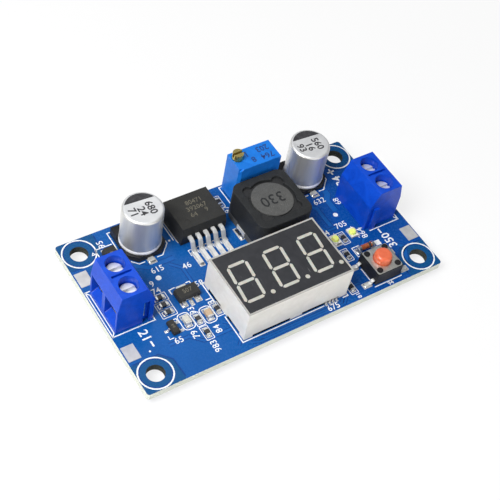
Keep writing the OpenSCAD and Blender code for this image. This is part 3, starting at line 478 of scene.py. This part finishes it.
LOOKS = {
    "circuit_board": board_look(), "wire_pads": WIRE_PAD, "solder_joints": SOLDER,
    "in_terminal_housing": TERMINAL, "out_terminal_housing": TERMINAL,
    "in_terminal_contacts": TIN, "out_terminal_contacts": TIN,
    "in_cap_base": BLACK, "out_cap_base": BLACK, "in_cap_tabs": LEAD, "out_cap_tabs": LEAD,
    "regulator_body": EPOXY, "regulator_tab": TIN, "regulator_leads": LEAD,
    "inductor_core": CORE, "inductor_winding": winding_look(), "inductor_shield": FERRITE,
    "inductor_clips": LEAD, "trimmer_body": TRIMMER, "trimmer_screw": BRASS, "trimmer_pins": TIN,
    "display_housing": housing_look(), "display_face": DARK, "display_segments": LIGHT_PIPE,
    "display_pins": TIN, "controller_body": EPOXY, "controller_leads": TIN,
    "resistor_array_bodies": GLAZE, "resistor_array_ends": TIN,
    "switch_base": BLACK, "switch_cover": PLATE, "switch_button": RED, "switch_dome": PLATE,
    "switch_legs": LEAD, "power_diode_body": EPOXY, "power_diode_leads": TIN,
    "glass_diode_tube": glass_look(), "glass_diode_caps": TIN,
    "ldo_body": EPOXY, "ldo_leads": TIN, "transistor_body": EPOXY, "transistor_leads": TIN,
    "chip_resistor_bodies": GLAZE, "chip_resistor_ends": TIN,
    "chip_capacitor_bodies": ceramic_look(), "chip_capacitor_ends": TIN,
    "led_lenses": lens_look(), "led_bases": CERAMIC,
}
for pole in POLES:
    LOOKS[pole + "_guard"] = GUARD
    LOOKS[pole + "_screw"] = screw_look(pole + "_screw_metal", *middle(*box(pole + "_screw")))
for cap in CAPS:
    lo, hi = box(cap + "_can")
    LOOKS[cap + "_can"] = can_look(cap + "_aluminium", *middle(lo, hi), lo.z, hi.z)
for node, look in LOOKS.items():
    slots = frame["nodes"][node].data.materials
    slots.clear()
    slots.append(look)


# ---------------------------------------------------------------- softened CAD edges

def soften(width, *nodes):
    """Rounds a CAD node's sharp edges a little, as moulding and stamping leave them."""
    for node in nodes:
        o = frame["nodes"][node]
        weld = o.modifiers.new("weld", "WELD")
        weld.merge_threshold = 1e-6
        bevel = o.modifiers.new("edges", "BEVEL")
        bevel.limit_method, bevel.angle_limit = "ANGLE", math.radians(35)
        bevel.width, bevel.segments, bevel.harden_normals = width * MM, 2, False
        bevel.use_clamp_overlap = True


soften(0.12, *BLOCKS, "trimmer_body", "display_housing")
soften(0.15, "regulator_body", "inductor_shield")
soften(0.06, "in_cap_base", "out_cap_base", "switch_base", "switch_cover", "regulator_leads", "ldo_body",
       "power_diode_body", "transistor_body", "trimmer_screw", "switch_legs")
soften(0.04, "chip_resistor_ends", "chip_capacitor_ends", "chip_capacitor_bodies", "led_lenses", "ldo_leads",
       *(pole + "_screw" for pole in POLES))


# ---------------------------------------------------------------- camera, floor and lights

CAMERA_PLACE = Vector((-91.71, -99.00, 169.21)) * MM
HEADING, DIP, ROLL = (math.radians(a) for a in (42.46, 50.69, 13.04))
LENS, SENSOR = 80.4, 36       # mm
FLOOR = 2                     # half its side, in metres

level = Vector((math.cos(HEADING), -math.sin(HEADING), 0))
rise = Vector((math.sin(HEADING) * math.sin(DIP), math.cos(HEADING) * math.sin(DIP), math.cos(DIP)))
ahead = Vector((math.sin(HEADING) * math.cos(DIP), math.cos(HEADING) * math.cos(DIP), -math.sin(DIP)))
right = level * math.cos(ROLL) + rise * math.sin(ROLL)
up = rise * math.cos(ROLL) - level * math.sin(ROLL)
camera = bpy.data.objects.new("camera", bpy.data.cameras.new("camera"))
camera.data.lens, camera.data.sensor_width = LENS, SENSOR
camera.data.clip_start, camera.data.clip_end = 0.01, 10
camera.matrix_world = Matrix((right, up, -ahead)).transposed().to_4x4()
camera.location = CAMERA_PLACE
bpy.context.scene.collection.objects.link(camera)
bpy.context.scene.camera = camera

floor_mesh = bpy.data.meshes.new("floor")
floor_mesh.from_pydata([(x * FLOOR, y * FLOOR, cad_lo.z) for x, y in ((-1, -1), (1, -1), (1, 1), (-1, 1))],
                       [], [(0, 1, 2, 3)])
floor_mesh.materials.append(floor_look())
floor = bpy.data.objects.new("floor", floor_mesh)
bpy.context.scene.collection.objects.link(floor)


def lamp(name, place, aim, size, watts):
    """Round soft lamp. Places and size are metres."""
    data = bpy.data.lights.new(name, "AREA")
    data.shape, data.size, data.energy = "DISK", size, watts
    o = bpy.data.objects.new(name, data)
    o.location = place
    o.rotation_mode = "QUATERNION"
    o.rotation_quaternion = (Vector(aim) - Vector(place)).to_track_quat("-Z", "Y")
    bpy.context.scene.collection.objects.link(o)


lamp("key", (-0.20, -0.03, 0.27), (-0.01, 0, 0), 0.17, 1.25)
lamp("top", (0.04, 0.26, 0.60), (0, 0, 0), 0.50, 0.85)
lamp("fill", (0.06, -0.52, 0.15), (0, 0, 0), 0.45, 0.80)

world = bpy.data.worlds.new("studio")
bpy.context.scene.world = world
world.use_nodes = True
sky = world.node_tree
sky_lit, sky_seen = sky.nodes["Background"], sky.nodes.new("ShaderNodeBackground")
for shade, colour, strength in ((sky_lit, (0.98, 0.99, 1, 1), 0.20), (sky_seen, (1, 1, 1, 1), 1.0)):
    shade.inputs["Color"].default_value, shade.inputs["Strength"].default_value = colour, strength
camera_ray = sky.nodes.new("ShaderNodeLightPath").outputs["Is Camera Ray"]
sky.links.new(shader_mix(sky, camera_ray, sky_lit.outputs[0], sky_seen.outputs[0]),
              sky.nodes["World Output"].inputs["Surface"])

bpy.context.scene.view_settings.view_transform = "Standard"


# ---------------------------------------------------------------- mesh building

class Shape:
    """Closed solids collected into one mesh. Coordinates are mm."""

    def __init__(self):
        self.verts, self.faces = [], []

    def add(self, verts, faces):
        start = len(self.verts)
        self.verts += [tuple(v) for v in verts]
        self.faces += [tuple(start + i for i in f) for f in faces]

    def rings(self, loops, closed_ends=True):
        """Skin through loops of equally many points, capped at both ends."""
        n = len(loops[0])
        faces = [(k * n + i, k * n + (i + 1) % n, (k + 1) * n + (i + 1) % n, (k + 1) * n + i)
                 for k in range(len(loops) - 1) for i in range(n)]
        if closed_ends:
            faces += [tuple(reversed(range(n))), tuple((len(loops) - 1) * n + i for i in range(n))]
        self.add([p for loop in loops for p in loop], faces)

    def prism(self, outline, z0, z1, inset=0.0):
        """Convex outline raised from z0 to z1, its top drawn in a little."""
        cx, cy = (sum(p[k] for p in outline) / len(outline) for k in (0, 1))

        def shrunk(p):
            dx, dy = p[0] - cx, p[1] - cy
            k = max(0.0, 1 - inset / max(1e-6, math.hypot(dx, dy)))
            return cx + dx * k, cy + dy * k

        self.rings([[(*p, z0) for p in outline], [(*shrunk(p), z1) for p in outline]])

    def ribbon(self, points, width, z0, z1, closed=False):
        """Flat strip along a path, mitred at its corners."""
        n, near_side, far_side = len(points), [], []
        for i, p in enumerate(points):
            before = points[i - 1] if i or closed else None
            after = points[(i + 1) % n] if i < n - 1 or closed else None
            normals = []
            for a, b in ((before, p), (p, after)):
                if a and b:
                    d = math.hypot(b[0] - a[0], b[1] - a[1]) or 1e-9
                    normals.append(((a[1] - b[1]) / d, (b[0] - a[0]) / d))
            sx, sy = sum(s[0] for s in normals), sum(s[1] for s in normals)
            k = width / 2 * len(normals) / max(0.3, sx * sx + sy * sy)
            near_side.append((p[0] + sx * k, p[1] + sy * k))
            far_side.append((p[0] - sx * k, p[1] - sy * k))
        loops = [[(*a, z0), (*b, z0), (*b, z1), (*a, z1)] for a, b in zip(near_side, far_side)]
        if closed:
            self.rings(loops + loops[:1], closed_ends=False)
        else:
            self.rings(loops)

    def disc(self, x, y, radius, z0, z1, n=20):
        self.prism(circle(x, y, radius, n), z0, z1)

    def hoop(self, x, y, outer, inner, z0, z1, n=36):
        self.ribbon(circle(x, y, (outer + inner) / 2, n), outer - inner, z0, z1, closed=True)

    def words(self, text, height, x, y, z0, z1, turn=0.0, bold=0.0):
        """Plain figures laid flat, centred on a point."""
        curve = bpy.data.curves.new("figures", "FONT")
        curve.body, curve.size = text, height * FONT_SIZE
        curve.align_x, curve.align_y = "CENTER", "CENTER"
        curve.resolution_u, curve.extrude, curve.offset = 2, (z1 - z0) / 2, bold
        holder = bpy.data.objects.new("figures", curve)
        mesh = bpy.data.meshes.new_from_object(holder)
        place = Matrix.Translation((x, y, (z0 + z1) / 2)) @ Matrix.Rotation(math.radians(turn), 4, "Z")
        self.add([place @ v.co for v in mesh.vertices], [tuple(p.vertices) for p in mesh.polygons])
        bpy.data.objects.remove(holder)
        bpy.data.curves.remove(curve)
        bpy.data.meshes.remove(mesh)

    def make(self, name, look, slot, body="board", smooth=None):
        """Turns the solids into a scene piece that rides on a body."""
        mesh = bpy.data.meshes.new(name)
        mesh.from_pydata([[c * MM for c in v] for v in self.verts], [], self.faces)
        mesh.materials.append(look)
        o = bpy.data.objects.new(name, mesh)
        bpy.context.scene.collection.objects.link(o)
        if smooth:
            mesh.polygons.foreach_set("use_smooth", [True] * len(mesh.polygons))
            mesh.set_sharp_from_angle(angle=math.radians(smooth))
        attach(o, body)


FONT_SIZE = 1.4         # of figures one unit tall


def circle(x, y, radius, n=20, start=0.0, sweep=360.0):
    """Points of a circle, or of an arc with both its ends."""
    steps = n if sweep == 360.0 else n + 1
    return [(x + radius * math.cos(math.radians(start + sweep * i / n)),
             y + radius * math.sin(math.radians(start + sweep * i / n))) for i in range(steps)]


def rounded(x0, y0, x1, y1, r, n=4):
    """Points of a rectangle with rounded corners."""
    corners = ((x1 - r, y1 - r, 0), (x0 + r, y1 - r, 90), (x0 + r, y0 + r, 180), (x1 - r, y0 + r, 270))
    return [p for cx, cy, a in corners for p in circle(cx, cy, r, n, a, 90.0)]


# ---------------------------------------------------------------- solder and pads

SKIN_0, SKIN_1 = TOP - 0.005, TOP + 0.02    # foot and top of the white print
PAD_1, PAD_INSET = TOP + 0.03, 0.02
MASK_1, GAP_1 = TOP + 0.008, TOP + 0.008 - 0.004
ON_BOARD = 0.25                             # least distance from a fillet to the board's edge
PAD_SHOWS = 0.08                            # how far a pad runs out past its solder
WETTED = 0.6                                # share of a pad's spare width that solder covers
FILLET_STEPS, FILLET_SUNK, THINNEST = 5, 0.03, 0.02     # solder starts a little inside the metal
HALF_ROUND = ((-1, 0.02), (-0.8, 0.75), (-0.3, 1.0), (0.3, 1.0), (0.8, 0.75), (1, 0.02))
pads, solder = Shape(), Shape()


def pad(x0, y0, x1, y1, r=0.12):
    pads.prism(rounded(x0, y0, x1, y1, r, 2), SKIN_0, PAD_1, PAD_INSET)


def fillet(x, y, ux, uy, half, height, reach):
    """Hollow slope of solder that runs out from a metal face at (x, y) along (ux, uy)."""
    loops = []
    for k in range(FILLET_STEPS + 1):
        t = k / FILLET_STEPS
        w, h = half * (1 - 0.35 * t * t), max(THINNEST, height * (1 - t) ** 2.1)
        px, py = x + ux * (reach * t - FILLET_SUNK), y + uy * (reach * t - FILLET_SUNK)
        loops.append([(px - uy * a * w, py + ux * a * w, TOP + b * h) for a, b in HALF_ROUND])
    solder.rings(loops)


def land(node, body_node, foot, height, reach, spare=0.1, axis=None):
    """A pad under each separate lead of a node, as wide as its tip, with solder at its outer end."""
    hubs = [middle(*b) for b in islands(body_node)]
    for lo, hi in islands(node):
        c = middle(lo, hi)
        hub = min(hubs, key=lambda h: math.dist(h, c))
        away = [c[k] - hub[k] for k in (0, 1)]
        # the lead runs out along axis k, towards plus or minus by its sign
        k = axis if axis is not None else (0 if abs(away[0]) > abs(away[1]) else 1)
        sign = 1 if away[k] > 0 else -1
        tip = hi[k] if sign > 0 else lo[k]
        face = [v.co[1 - k] / MM for v in frame["nodes"][node].data.vertices
                if abs(v.co[k] / MM - tip) < 0.02 and lo[1 - k] - 0.01 < v.co[1 - k] / MM < hi[1 - k] + 0.01]
        half = (max(face) - min(face)) / 2
        run = min(reach, (EDGE_X, EDGE_Y)[k] - sign * tip - ON_BOARD)
        a, b = tip - sign * foot, tip + sign * (run + PAD_SHOWS)
        span = [0, 0, 0, 0]
        span[k], span[k + 2] = min(a, b), max(a, b)
        span[1 - k], span[3 - k] = c[1 - k] - half - spare, c[1 - k] + half + spare
        pad(*span)
        at, u = [0, 0], [0, 0]
        at[k], at[1 - k], u[k] = tip, c[1 - k], sign
        fillet(*at, *u, half + spare * WETTED, height, run)


for leads, body, *sizes in (
        ("chip_resistor_ends", "chip_resistor_bodies", 0.5, 0.3, 0.32),
        ("chip_capacitor_ends", "chip_capacitor_bodies", 0.5, 0.65, 0.4),
        ("led_bases", "led_lenses", 0.5, 0.35, 0.42),
        ("resistor_array_ends", "resistor_array_bodies", 0.3, 0.3, 0.35, 0.02, 1),
        ("glass_diode_caps", "glass_diode_tube", 0.6, 0.8, 0.45),
        ("transistor_leads", "transistor_body", 0.55, 0.12, 0.3),
        ("ldo_leads", "ldo_body", 0.9, 0.3, 0.35, 0.15),
        ("power_diode_leads", "power_diode_body", 1.2, 0.7, 0.5, 0.2),
        ("regulator_leads", "regulator_body", 3.3, 0.35, 0.45, 0.18),
        ("in_cap_tabs", "in_cap_base", 0.9, 0.2, 0.5, 0.3),
        ("out_cap_tabs", "out_cap_base", 0.9, 0.2, 0.5, 0.3),
        ("switch_legs", "switch_base", 1.5, 0.2, 0.4, 0.3),
        ("inductor_clips", "inductor_core", 1.4, 0.8, 0.6, 0.3)):
    land(leads, body, *sizes)

# the heat tabs of the regulator and of the small regulator
lo, hi = box("regulator_tab")
pad(lo.x - 0.3, lo.y - 0.4, hi.x + 0.3, hi.y + 0.45, 0.3)
fillet((lo.x + hi.x) / 2, hi.y, 0, 1, (hi.x - lo.x) / 2 - 0.8, 0.5, 0.4)
lo, hi = islands("ldo_leads")[1]
pad(lo[0] - 0.2, hi[1] - 1.0, hi[0] + 0.2, hi[1] + 0.35)
fillet(middle(lo, hi)[0], hi[1], 0, 1, 0.8, 0.35, 0.3)
pads.make("surface_pads", PAD, "tinned_metal")
solder.make("solder_fillets", SOLDER, "tinned_metal", smooth=60)

# ---------------------------------------------------------------- copper under the mask

copper, gaps = Shape(), Shape()
GAP = 0.36              # how much wider than its track a gap is, both sides together
# edge of the copper round a mounting hole, counted from the hole's middle towards the board's corner
CLEARANCE = ((2.85, -3.2), (-2.3, -3.2), (-4.2, -1.2), (-4.4, 2.85))
for hx, hy in HOLES:
    sx, sy = math.copysign(1, hx), math.copysign(1, hy)
    gaps.ribbon([(hx + sx * x, hy + sy * y) for x, y in CLEARANCE], 0.28, SKIN_0, MASK_1)
    gaps.hoop(hx, hy, 3.15, 2.85, SKIN_0, MASK_1)
ROUTES = (              # width, then the corners
    (0.9, (-24.3, 7.6), (-21.5, 7.6), (-19.5, 6.2), (-14.0, 6.2)),
    (0.9, (-24.0, 1.5), (-22.6, 0.6), (-22.6, -0.2)),
    (0.5, (-24.6, -10.6), (-20.5, -10.6), (-18.5, -12.6), (-12.6, -12.6)),
    (0.35, (-10.8, -16.9), (-9.4, -17.4), (9.6, -17.4), (12.4, -14.7), (14.8, -14.7)),
    (0.35, (-8.8, -16.6), (-8.3, -16.95), (9.2, -16.95), (11.8, -14.2), (14.0, -12.4)),
    (0.35, (-13.4, -10.6), (-12.2, -11.6), (-12.2, -15.2), (-13.4, -16.4)),
    (1.2, (21.2, 2.2), (21.2, 5.4), (22.2, 6.6), (22.2, 7.6)),
    (0.8, (18.0, -0.6), (18.0, 4.4), (15.4, 6.8)),
    (0.5, (13.0, 1.0), (15.4, 1.0), (16.6, -1.4), (19.6, -1.4)),
    (0.5, (23.4, -6.2), (22.2, -6.2), (21.2, -7.2), (16.8, -9.8)),
    (0.7, (26.6, -9.6), (28.6, -11.4), (25.6, -16.4), (18.0, -16.9)),
    (1.4, (-5.0, 3.2), (-5.0, 1.0), (1.0, 1.0), (2.0, 2.2)),
    (0.5, (-15.6, 5.2), (-13.8, 3.4), (-13.8, -0.6)),
)
for width, *route in ROUTES:
    gaps.ribbon(route, width + GAP, SKIN_0, GAP_1)
    copper.ribbon(route, width, SKIN_0, MASK_1)
copper.make("copper_tracks", TRACE, "board")
gaps.make("copper_gaps", BARE, "board")

# ---------------------------------------------------------------- white print

silk = Shape()
HAIR, FINE, THIN, GLASS, BODY, FRAME, SIGN = 0.14, 0.16, 0.17, 0.18, 0.20, 0.22, 0.34     # line widths


def line(*points, width=THIN, closed=False):
    silk.ribbon(list(points), width, SKIN_0, SKIN_1, closed)


def near(node, *points):
    """Points given from the middle of a node."""
    cx, cy = middle(*box(node))
    return [(cx + x, cy + y) for x, y in points]


for hx, hy in HOLES:
    silk.hoop(hx, hy, 3.36, 3.08, SKIN_0, SKIN_1, 64)

# terminal blocks: a frame that the block itself hides in part, and the bevelled wire side in it
HALF_BLOCK = 5.4
for block, out, front, end in (("in_terminal", -1, 0.0, 0.35), ("out_terminal", 1, 0.35, 1.0)):
    lo, hi = box(block + "_housing")
    mid_y = middle(*box(block + "_contacts"))[1]
    wire, inner = (hi.x, lo.x) if out > 0 else (lo.x, hi.x)
    y0, y1 = mid_y - HALF_BLOCK - front, mid_y + HALF_BLOCK
    far, close, side = wire + out * 0.72, wire + out * 0.14, inner + end
    line((side, y0), (far, y0), (far, y1), (side, y1), width=FRAME, closed=out < 0)
    line((far, y0), (close, y0 + 0.8), (close, y1 - 0.8), (far, y1), width=BODY)

for cap in CAPS:
    lo, hi = box(cap + "_base")
    cx = (lo.x + hi.x) / 2
    x1, y0, y1, cut = hi.x - cx + 0.45, lo.y - 0.4, hi.y + 0.4, 2.1
    for s in (-1, 1):
        line((cx + s * 1.3, y0), (cx + s * (x1 - cut), y0), (cx + s * x1, y0 + cut), (cx + s * x1, y1),
             (cx + s * 1.3, y1), width=BODY)

lo, hi = box("regulator_body")
for x in (lo.x - 0.45, hi.x + 0.35):
    line((x, lo.y + 2.0), (x, hi.y - 1.6), width=BODY)
silk.disc(lo.x - 1.2, lo.y + 2.3, 0.22, SKIN_0, SKIN_1, 14)
for lo, hi in islands("regulator_leads"):
    heel = lo[1] + 3.9
    line((lo[0] - 0.36, heel - 1.4), (lo[0] - 0.36, heel), (hi[0] + 0.36, heel), width=HAIR)
    line((hi[0] + 0.36, heel - 1.1), (hi[0] + 0.36, heel), width=HAIR)

lo, hi = box("trimmer_body")
line((lo.x + 0.6, hi.y + 0.35), (lo.x - 0.35, hi.y + 0.35), (lo.x - 0.35, lo.y + 0.4), width=FRAME)
line((hi.x - 0.6, hi.y + 0.35), (hi.x + 0.35, hi.y + 0.35), (hi.x + 0.35, lo.y + 0.4), width=FRAME)
lo, hi = box("inductor_shield")
line((lo.x - 0.3, lo.y + 2.2), (lo.x - 0.3, lo.y + 0.4), (lo.x + 1.6, lo.y - 0.3), width=BODY)

line(*near("ldo_body", (-1.15, 2.4), (-2.45, 2.3), (-2.4, 1.2)), width=BODY)
line(*near("ldo_body", (1.15, 2.45), (2.0, 2.45), (2.05, 1.8)), width=BODY)
line(*near("transistor_body", (-0.7, -1.75), (-1.6, -1.75), (-1.6, -1.0)))
line(*near("transistor_body", (0.5, 1.75), (1.6, 1.75), (1.6, 0.9)))

# display: a frame that breaks at its left side and over the resistor array
lo, hi = box("display_housing")
chips_lo, chips_hi = box("resistor_array_bodies")
rim = 0.32
line((chips_hi.x + 1.0, lo.y - rim), (hi.x + rim, lo.y - rim), (hi.x + rim, hi.y + rim),
     (lo.x - rim, hi.y + rim), (lo.x - rim, lo.y + 9.0), width=FRAME)
line((lo.x - rim, lo.y + 6.0), (lo.x - rim, lo.y - rim), (chips_lo.x - 0.12, lo.y - rim), width=FRAME)


def chips(kind):
    """Middle and half size, ends included, of each chip of a kind."""
    ends = [(middle(*e), e) for e in islands(kind + "_ends")]
    for body in islands(kind + "_bodies"):
        c = middle(*body)
        mine = sorted(ends, key=lambda e: math.dist(e[0], c))[:2]
        lo = [min(e[1][0][k] for e in mine) for k in (0, 1)]
        hi = [max(e[1][1][k] for e in mine) for k in (0, 1)]
        yield *c, (hi[0] - lo[0]) / 2, (hi[1] - lo[1]) / 2


for x, y, a, b in chips("chip_resistor"):
    gx, gy = (0.72, 0.475) if a > b else (0.36, 0.72)
    line(*rounded(x - a - gx, y - b - gy, x + a + gx, y + b + gy, 0.1, 1), width=HAIR, closed=True)
for x, y, a, b in chips("chip_capacitor"):
    line(*rounded(x - a - 0.55, y - b - 0.85, x + a + 0.55, y + b + 0.85, 0.8, 5), closed=True)
for lo, hi in islands("led_lenses"):
    cx, cy = middle(lo, hi)
    line((cx + 0.75, cy - 1.6), (cx + 0.75, cy + 1.6), width=HAIR)
lo, hi = box("glass_diode_caps")
line((lo.x + 1.0, hi.y + 0.5), (lo.x - 0.7, hi.y + 0.5), (lo.x - 0.7, lo.y - 0.5), (lo.x + 1.0, lo.y - 0.5),
     width=GLASS)
line((hi.x - 1.0, lo.y - 0.5), (hi.x + 0.7, lo.y - 0.5), (hi.x + 0.7, lo.y + 0.2), width=GLASS)
lo, hi = box("switch_base")
line((lo.x - 0.15, lo.y + 1.5), (lo.x - 0.15, hi.y - 1.5), width=BODY)
line((lo.x - 0.3, lo.y - 0.3), (hi.x + 0.3, lo.y - 0.3), width=BODY)
lo, hi = box("power_diode_body")
line((lo.x - 0.5, hi.y + 1.5), (lo.x - 0.5, hi.y - 0.4), width=BODY)
line((lo.x - 0.5, hi.y + 1.5), (hi.x + 0.4, hi.y + 1.5), width=BODY)
line((lo.x - 1.5, hi.y + 0.6), (lo.x - 0.9, hi.y + 0.6), (lo.x - 1.2, hi.y + 1.1), width=FINE, closed=True)

# minus and plus signs, dots and plain figures
for x, y in ((-27.15, -9.0), (26.35, -5.95)):
    line((x, y - 0.6), (x, y + 0.6), width=SIGN)
for x, y in ((26.35, 11.4), (-27.45, 8.9)):
    line((x, y - 0.8), (x, y + 0.8), width=SIGN)
    line((x - 0.8, y), (x + 0.8, y), width=SIGN)
for x, y, r in ((-18.99, 3.23, 0.55), (20.58, 1.39, 0.5), (-28.3, -10.2, 0.2)):
    silk.disc(x, y, r, SKIN_0, SKIN_1)
FIGURES = (             # height and boldness, then each figure with its place and turn
    (1.3, 0.008, ("615", -18.2, 5.05, 0), ("46", -12.8, 3.4, 0), ("58", -12.8, -1.2, 0), ("9", -20.8, 2.5, 0),
     ("74", -20.9, 0.75, 0), ("81", -13.0, -5.5, 90), ("93", -17.1, -5.9, 90), ("79", -19.2, -10.7, 90),
     ("84", -14.9, -11.5, 90), ("65", -22.5, -10.5, 0), ("983", -17.15, -14.5, 90), ("632", 19.6, 5.75, 0),
     ("97", 1.4, 12.0, 90), ("68", 23.0, 4.2, 90), ("705", 20.0, -1.3, 0), ("4", 16.3, -1.8, 0),
     ("864", 22.9, -4.8, 90), ("675", 7.2, -17.1, 0), ("95", -24.9, 14.9, 90)),
    (0.9, 0.004, ("94", 20.6, -17.45, 0), ("81", 13.2, -17.1, 90)),
    (1.8, 0.04, ("21", -27.55, -6.9, -90), ("350", 26.8, -8.7, 90), ("34", 26.5, 8.7, 90)),
)
for height, bold, *group in FIGURES:
    for text, x, y, turn in group:
        silk.words(text, height, x, y, SKIN_0, SKIN_1, turn, bold)
silk.prism([(23.6, -8.8), (24.8, -8.8), (24.8, -7.6), (23.6, -7.6)], SKIN_0, SKIN_1)     # white square
silk.make("board_print", SILK, "board")

# ---------------------------------------------------------------- marks on the parts

SUNK = 0.005            # how deep a mark starts below the face that carries it


def mark(shape, node, proud, height, *figures, turn=0.0, bold=0.0):
    """Figures on a node's top, each placed from its middle."""
    top = box(node)[1].z
    for text, dx, dy in figures:
        x, y = near(node, (dx, dy))[0]
        shape.words(text, height, x, y, top - SUNK, top + proud, turn, bold)


laser = Shape()
mark(laser, "regulator_body", 0.008, 1.05,
     ("80471", 0.7, 1.7), ("392067", 0.5, 0.2), ("64", -0.9, -1.3), ("9", 2.0, -1.1))
mark(laser, "ldo_body", 0.008, 0.95, ("507", 0, 0))
mark(laser, "transistor_body", 0.008, 0.6, ("64", 0, 0), turn=90)
mark(laser, "power_diode_body", 0.008, 1.0, ("39", 0, 0), turn=90)
laser.make("part_marks", LASER, "epoxy")

can_print = Shape()
CAN_TOP, CHORD = 3.5, 1.75      # radius of the flat of a can's top, and its middle to the dark segment
half = math.degrees(math.acos(CHORD / CAN_TOP))
for cap, figures in zip(CAPS, (("680", "24", "71"), ("560", "16", "93"))):
    lo, hi = box(cap + "_can")
    cx, cy = middle(lo, hi)
    z0, z1 = hi.z - 0.006, hi.z + 0.012
    can_print.prism(circle(cx, cy, CAN_TOP, 18, 86.5 - half, 2 * half), z0, z1)
    for text, dx, dy in zip(figures, (1.3, -0.55, -2.3), (-0.55, -0.7, -0.3)):
        can_print.words(text, 1.5, cx + dx, cy + dy, z0, z1, -90, bold=0.045)
can_print.make("can_print", INK, "black_plastic")

top_print = Shape()
mark(top_print, "trimmer_body", 0.01, 1.35,
     ("203", 2.3, 1.05), ("764", 2.4, -0.95), ("8", -0.7, -0.8), ("1", -1.4, 0.9), turn=180, bold=0.03)
top_print.make("trimmer_print", NAVY_INK, "trimmer_blue")

lo, hi = box("inductor_core")
cx, cy = middle(lo, hi)
relief = Shape()
relief.words("330", 2.5, cx, cy, hi.z - 0.02, hi.z + 0.05, 180)
relief.make("core_figures", FERRITE, "ferrite")

WELL, NOTCH = 4.7, 1.2          # radius of the shield's bore, and of the notches at its corners
RING = 4.0                      # inner radius of the resin
rim_z = box("inductor_shield")[1].z
dark_fill = Shape()
dark_fill.hoop(cx, cy, WELL + 0.15, RING, rim_z - 1.3, rim_z - 0.55, 64)
for a in (45, 135, 225, 315):
    x, y = cx + WELL * math.cos(math.radians(a)), cy + WELL * math.sin(math.radians(a))
    dark_fill.disc(x, y, NOTCH + 0.05, rim_z - 0.95, rim_z - 0.5, 24)
dark_fill.make("inductor_resin", RESIN, "black_plastic", smooth=40)

band = Shape()
lo, hi = box("glass_diode_tube")
cy, cz, r = (lo.y + hi.y) / 2, (lo.z + hi.z) / 2, (hi.z - lo.z) / 2 + 0.012
BAND = ((0.75, 0.02), (0.72, 0.0), (0.3, 0.0), (0.27, 0.02))     # in from the glass's end, and drawn in
turns = [math.tau * i / 32 for i in range(32)]
band.rings([[(hi.x - end, cy + (r - drawn) * math.cos(a), cz + (r - drawn) * math.sin(a)) for a in turns]
            for end, drawn in BAND])
band.make("diode_band", INK, "black_plastic", smooth=40)

# ---------------------------------------------------------------- underside

LOW_0, LOW_1 = BOTTOM - 0.02, BOTTOM + 0.005        # foot and top of the copper; the print is a hair prouder
LOW_PRINT, LOW_PAD = BOTTOM - 0.022, BOTTOM - 0.03
LINKED = 18             # pins nearer than this may share a track
under, under_pads, under_print = Shape(), Shape(), Shape()
pins = [(*middle(lo, hi), (hi[0] - lo[0]) / 2) for lo, hi in islands("solder_joints")]
for x, y, r in pins:
    under_pads.hoop(x, y, r + 0.28, r - 0.15, LOW_PAD, LOW_1)
for (ax, ay, _), (bx, by, _) in zip(pins, pins[2:]):
    if math.dist((ax, ay), (bx, by)) < LINKED:
        bend = (bx, ay + math.copysign(min(abs(by - ay), abs(bx - ax)), by - ay))
        under.ribbon([(ax, ay), bend, (bx, by)], 0.5, LOW_0, LOW_1)
for sx in (-1, 1):
    for sy in (-1, 1):
        route = [(sx * x, sy * y) for x, y in ((28.4, 5.5), (24.0, 9.5), (9.0, 12.5), (2.0, 12.5))]
        under.ribbon(route, 1.6, LOW_0, LOW_1)
for hx, hy in HOLES:
    under_print.hoop(hx, hy, 3.0, 2.72, LOW_PRINT, LOW_1)
for node in (*BLOCKS, "display_housing", "trimmer_body"):
    lo, hi = box(node)
    under_print.ribbon([(lo.x, lo.y), (hi.x, lo.y), (hi.x, hi.y), (lo.x, hi.y)], 0.18, LOW_PRINT, LOW_1, True)
under.make("underside_tracks", TRACE, "board")
under_pads.make("underside_pads", PAD, "tinned_metal")
under_print.make("underside_print", SILK, "board")
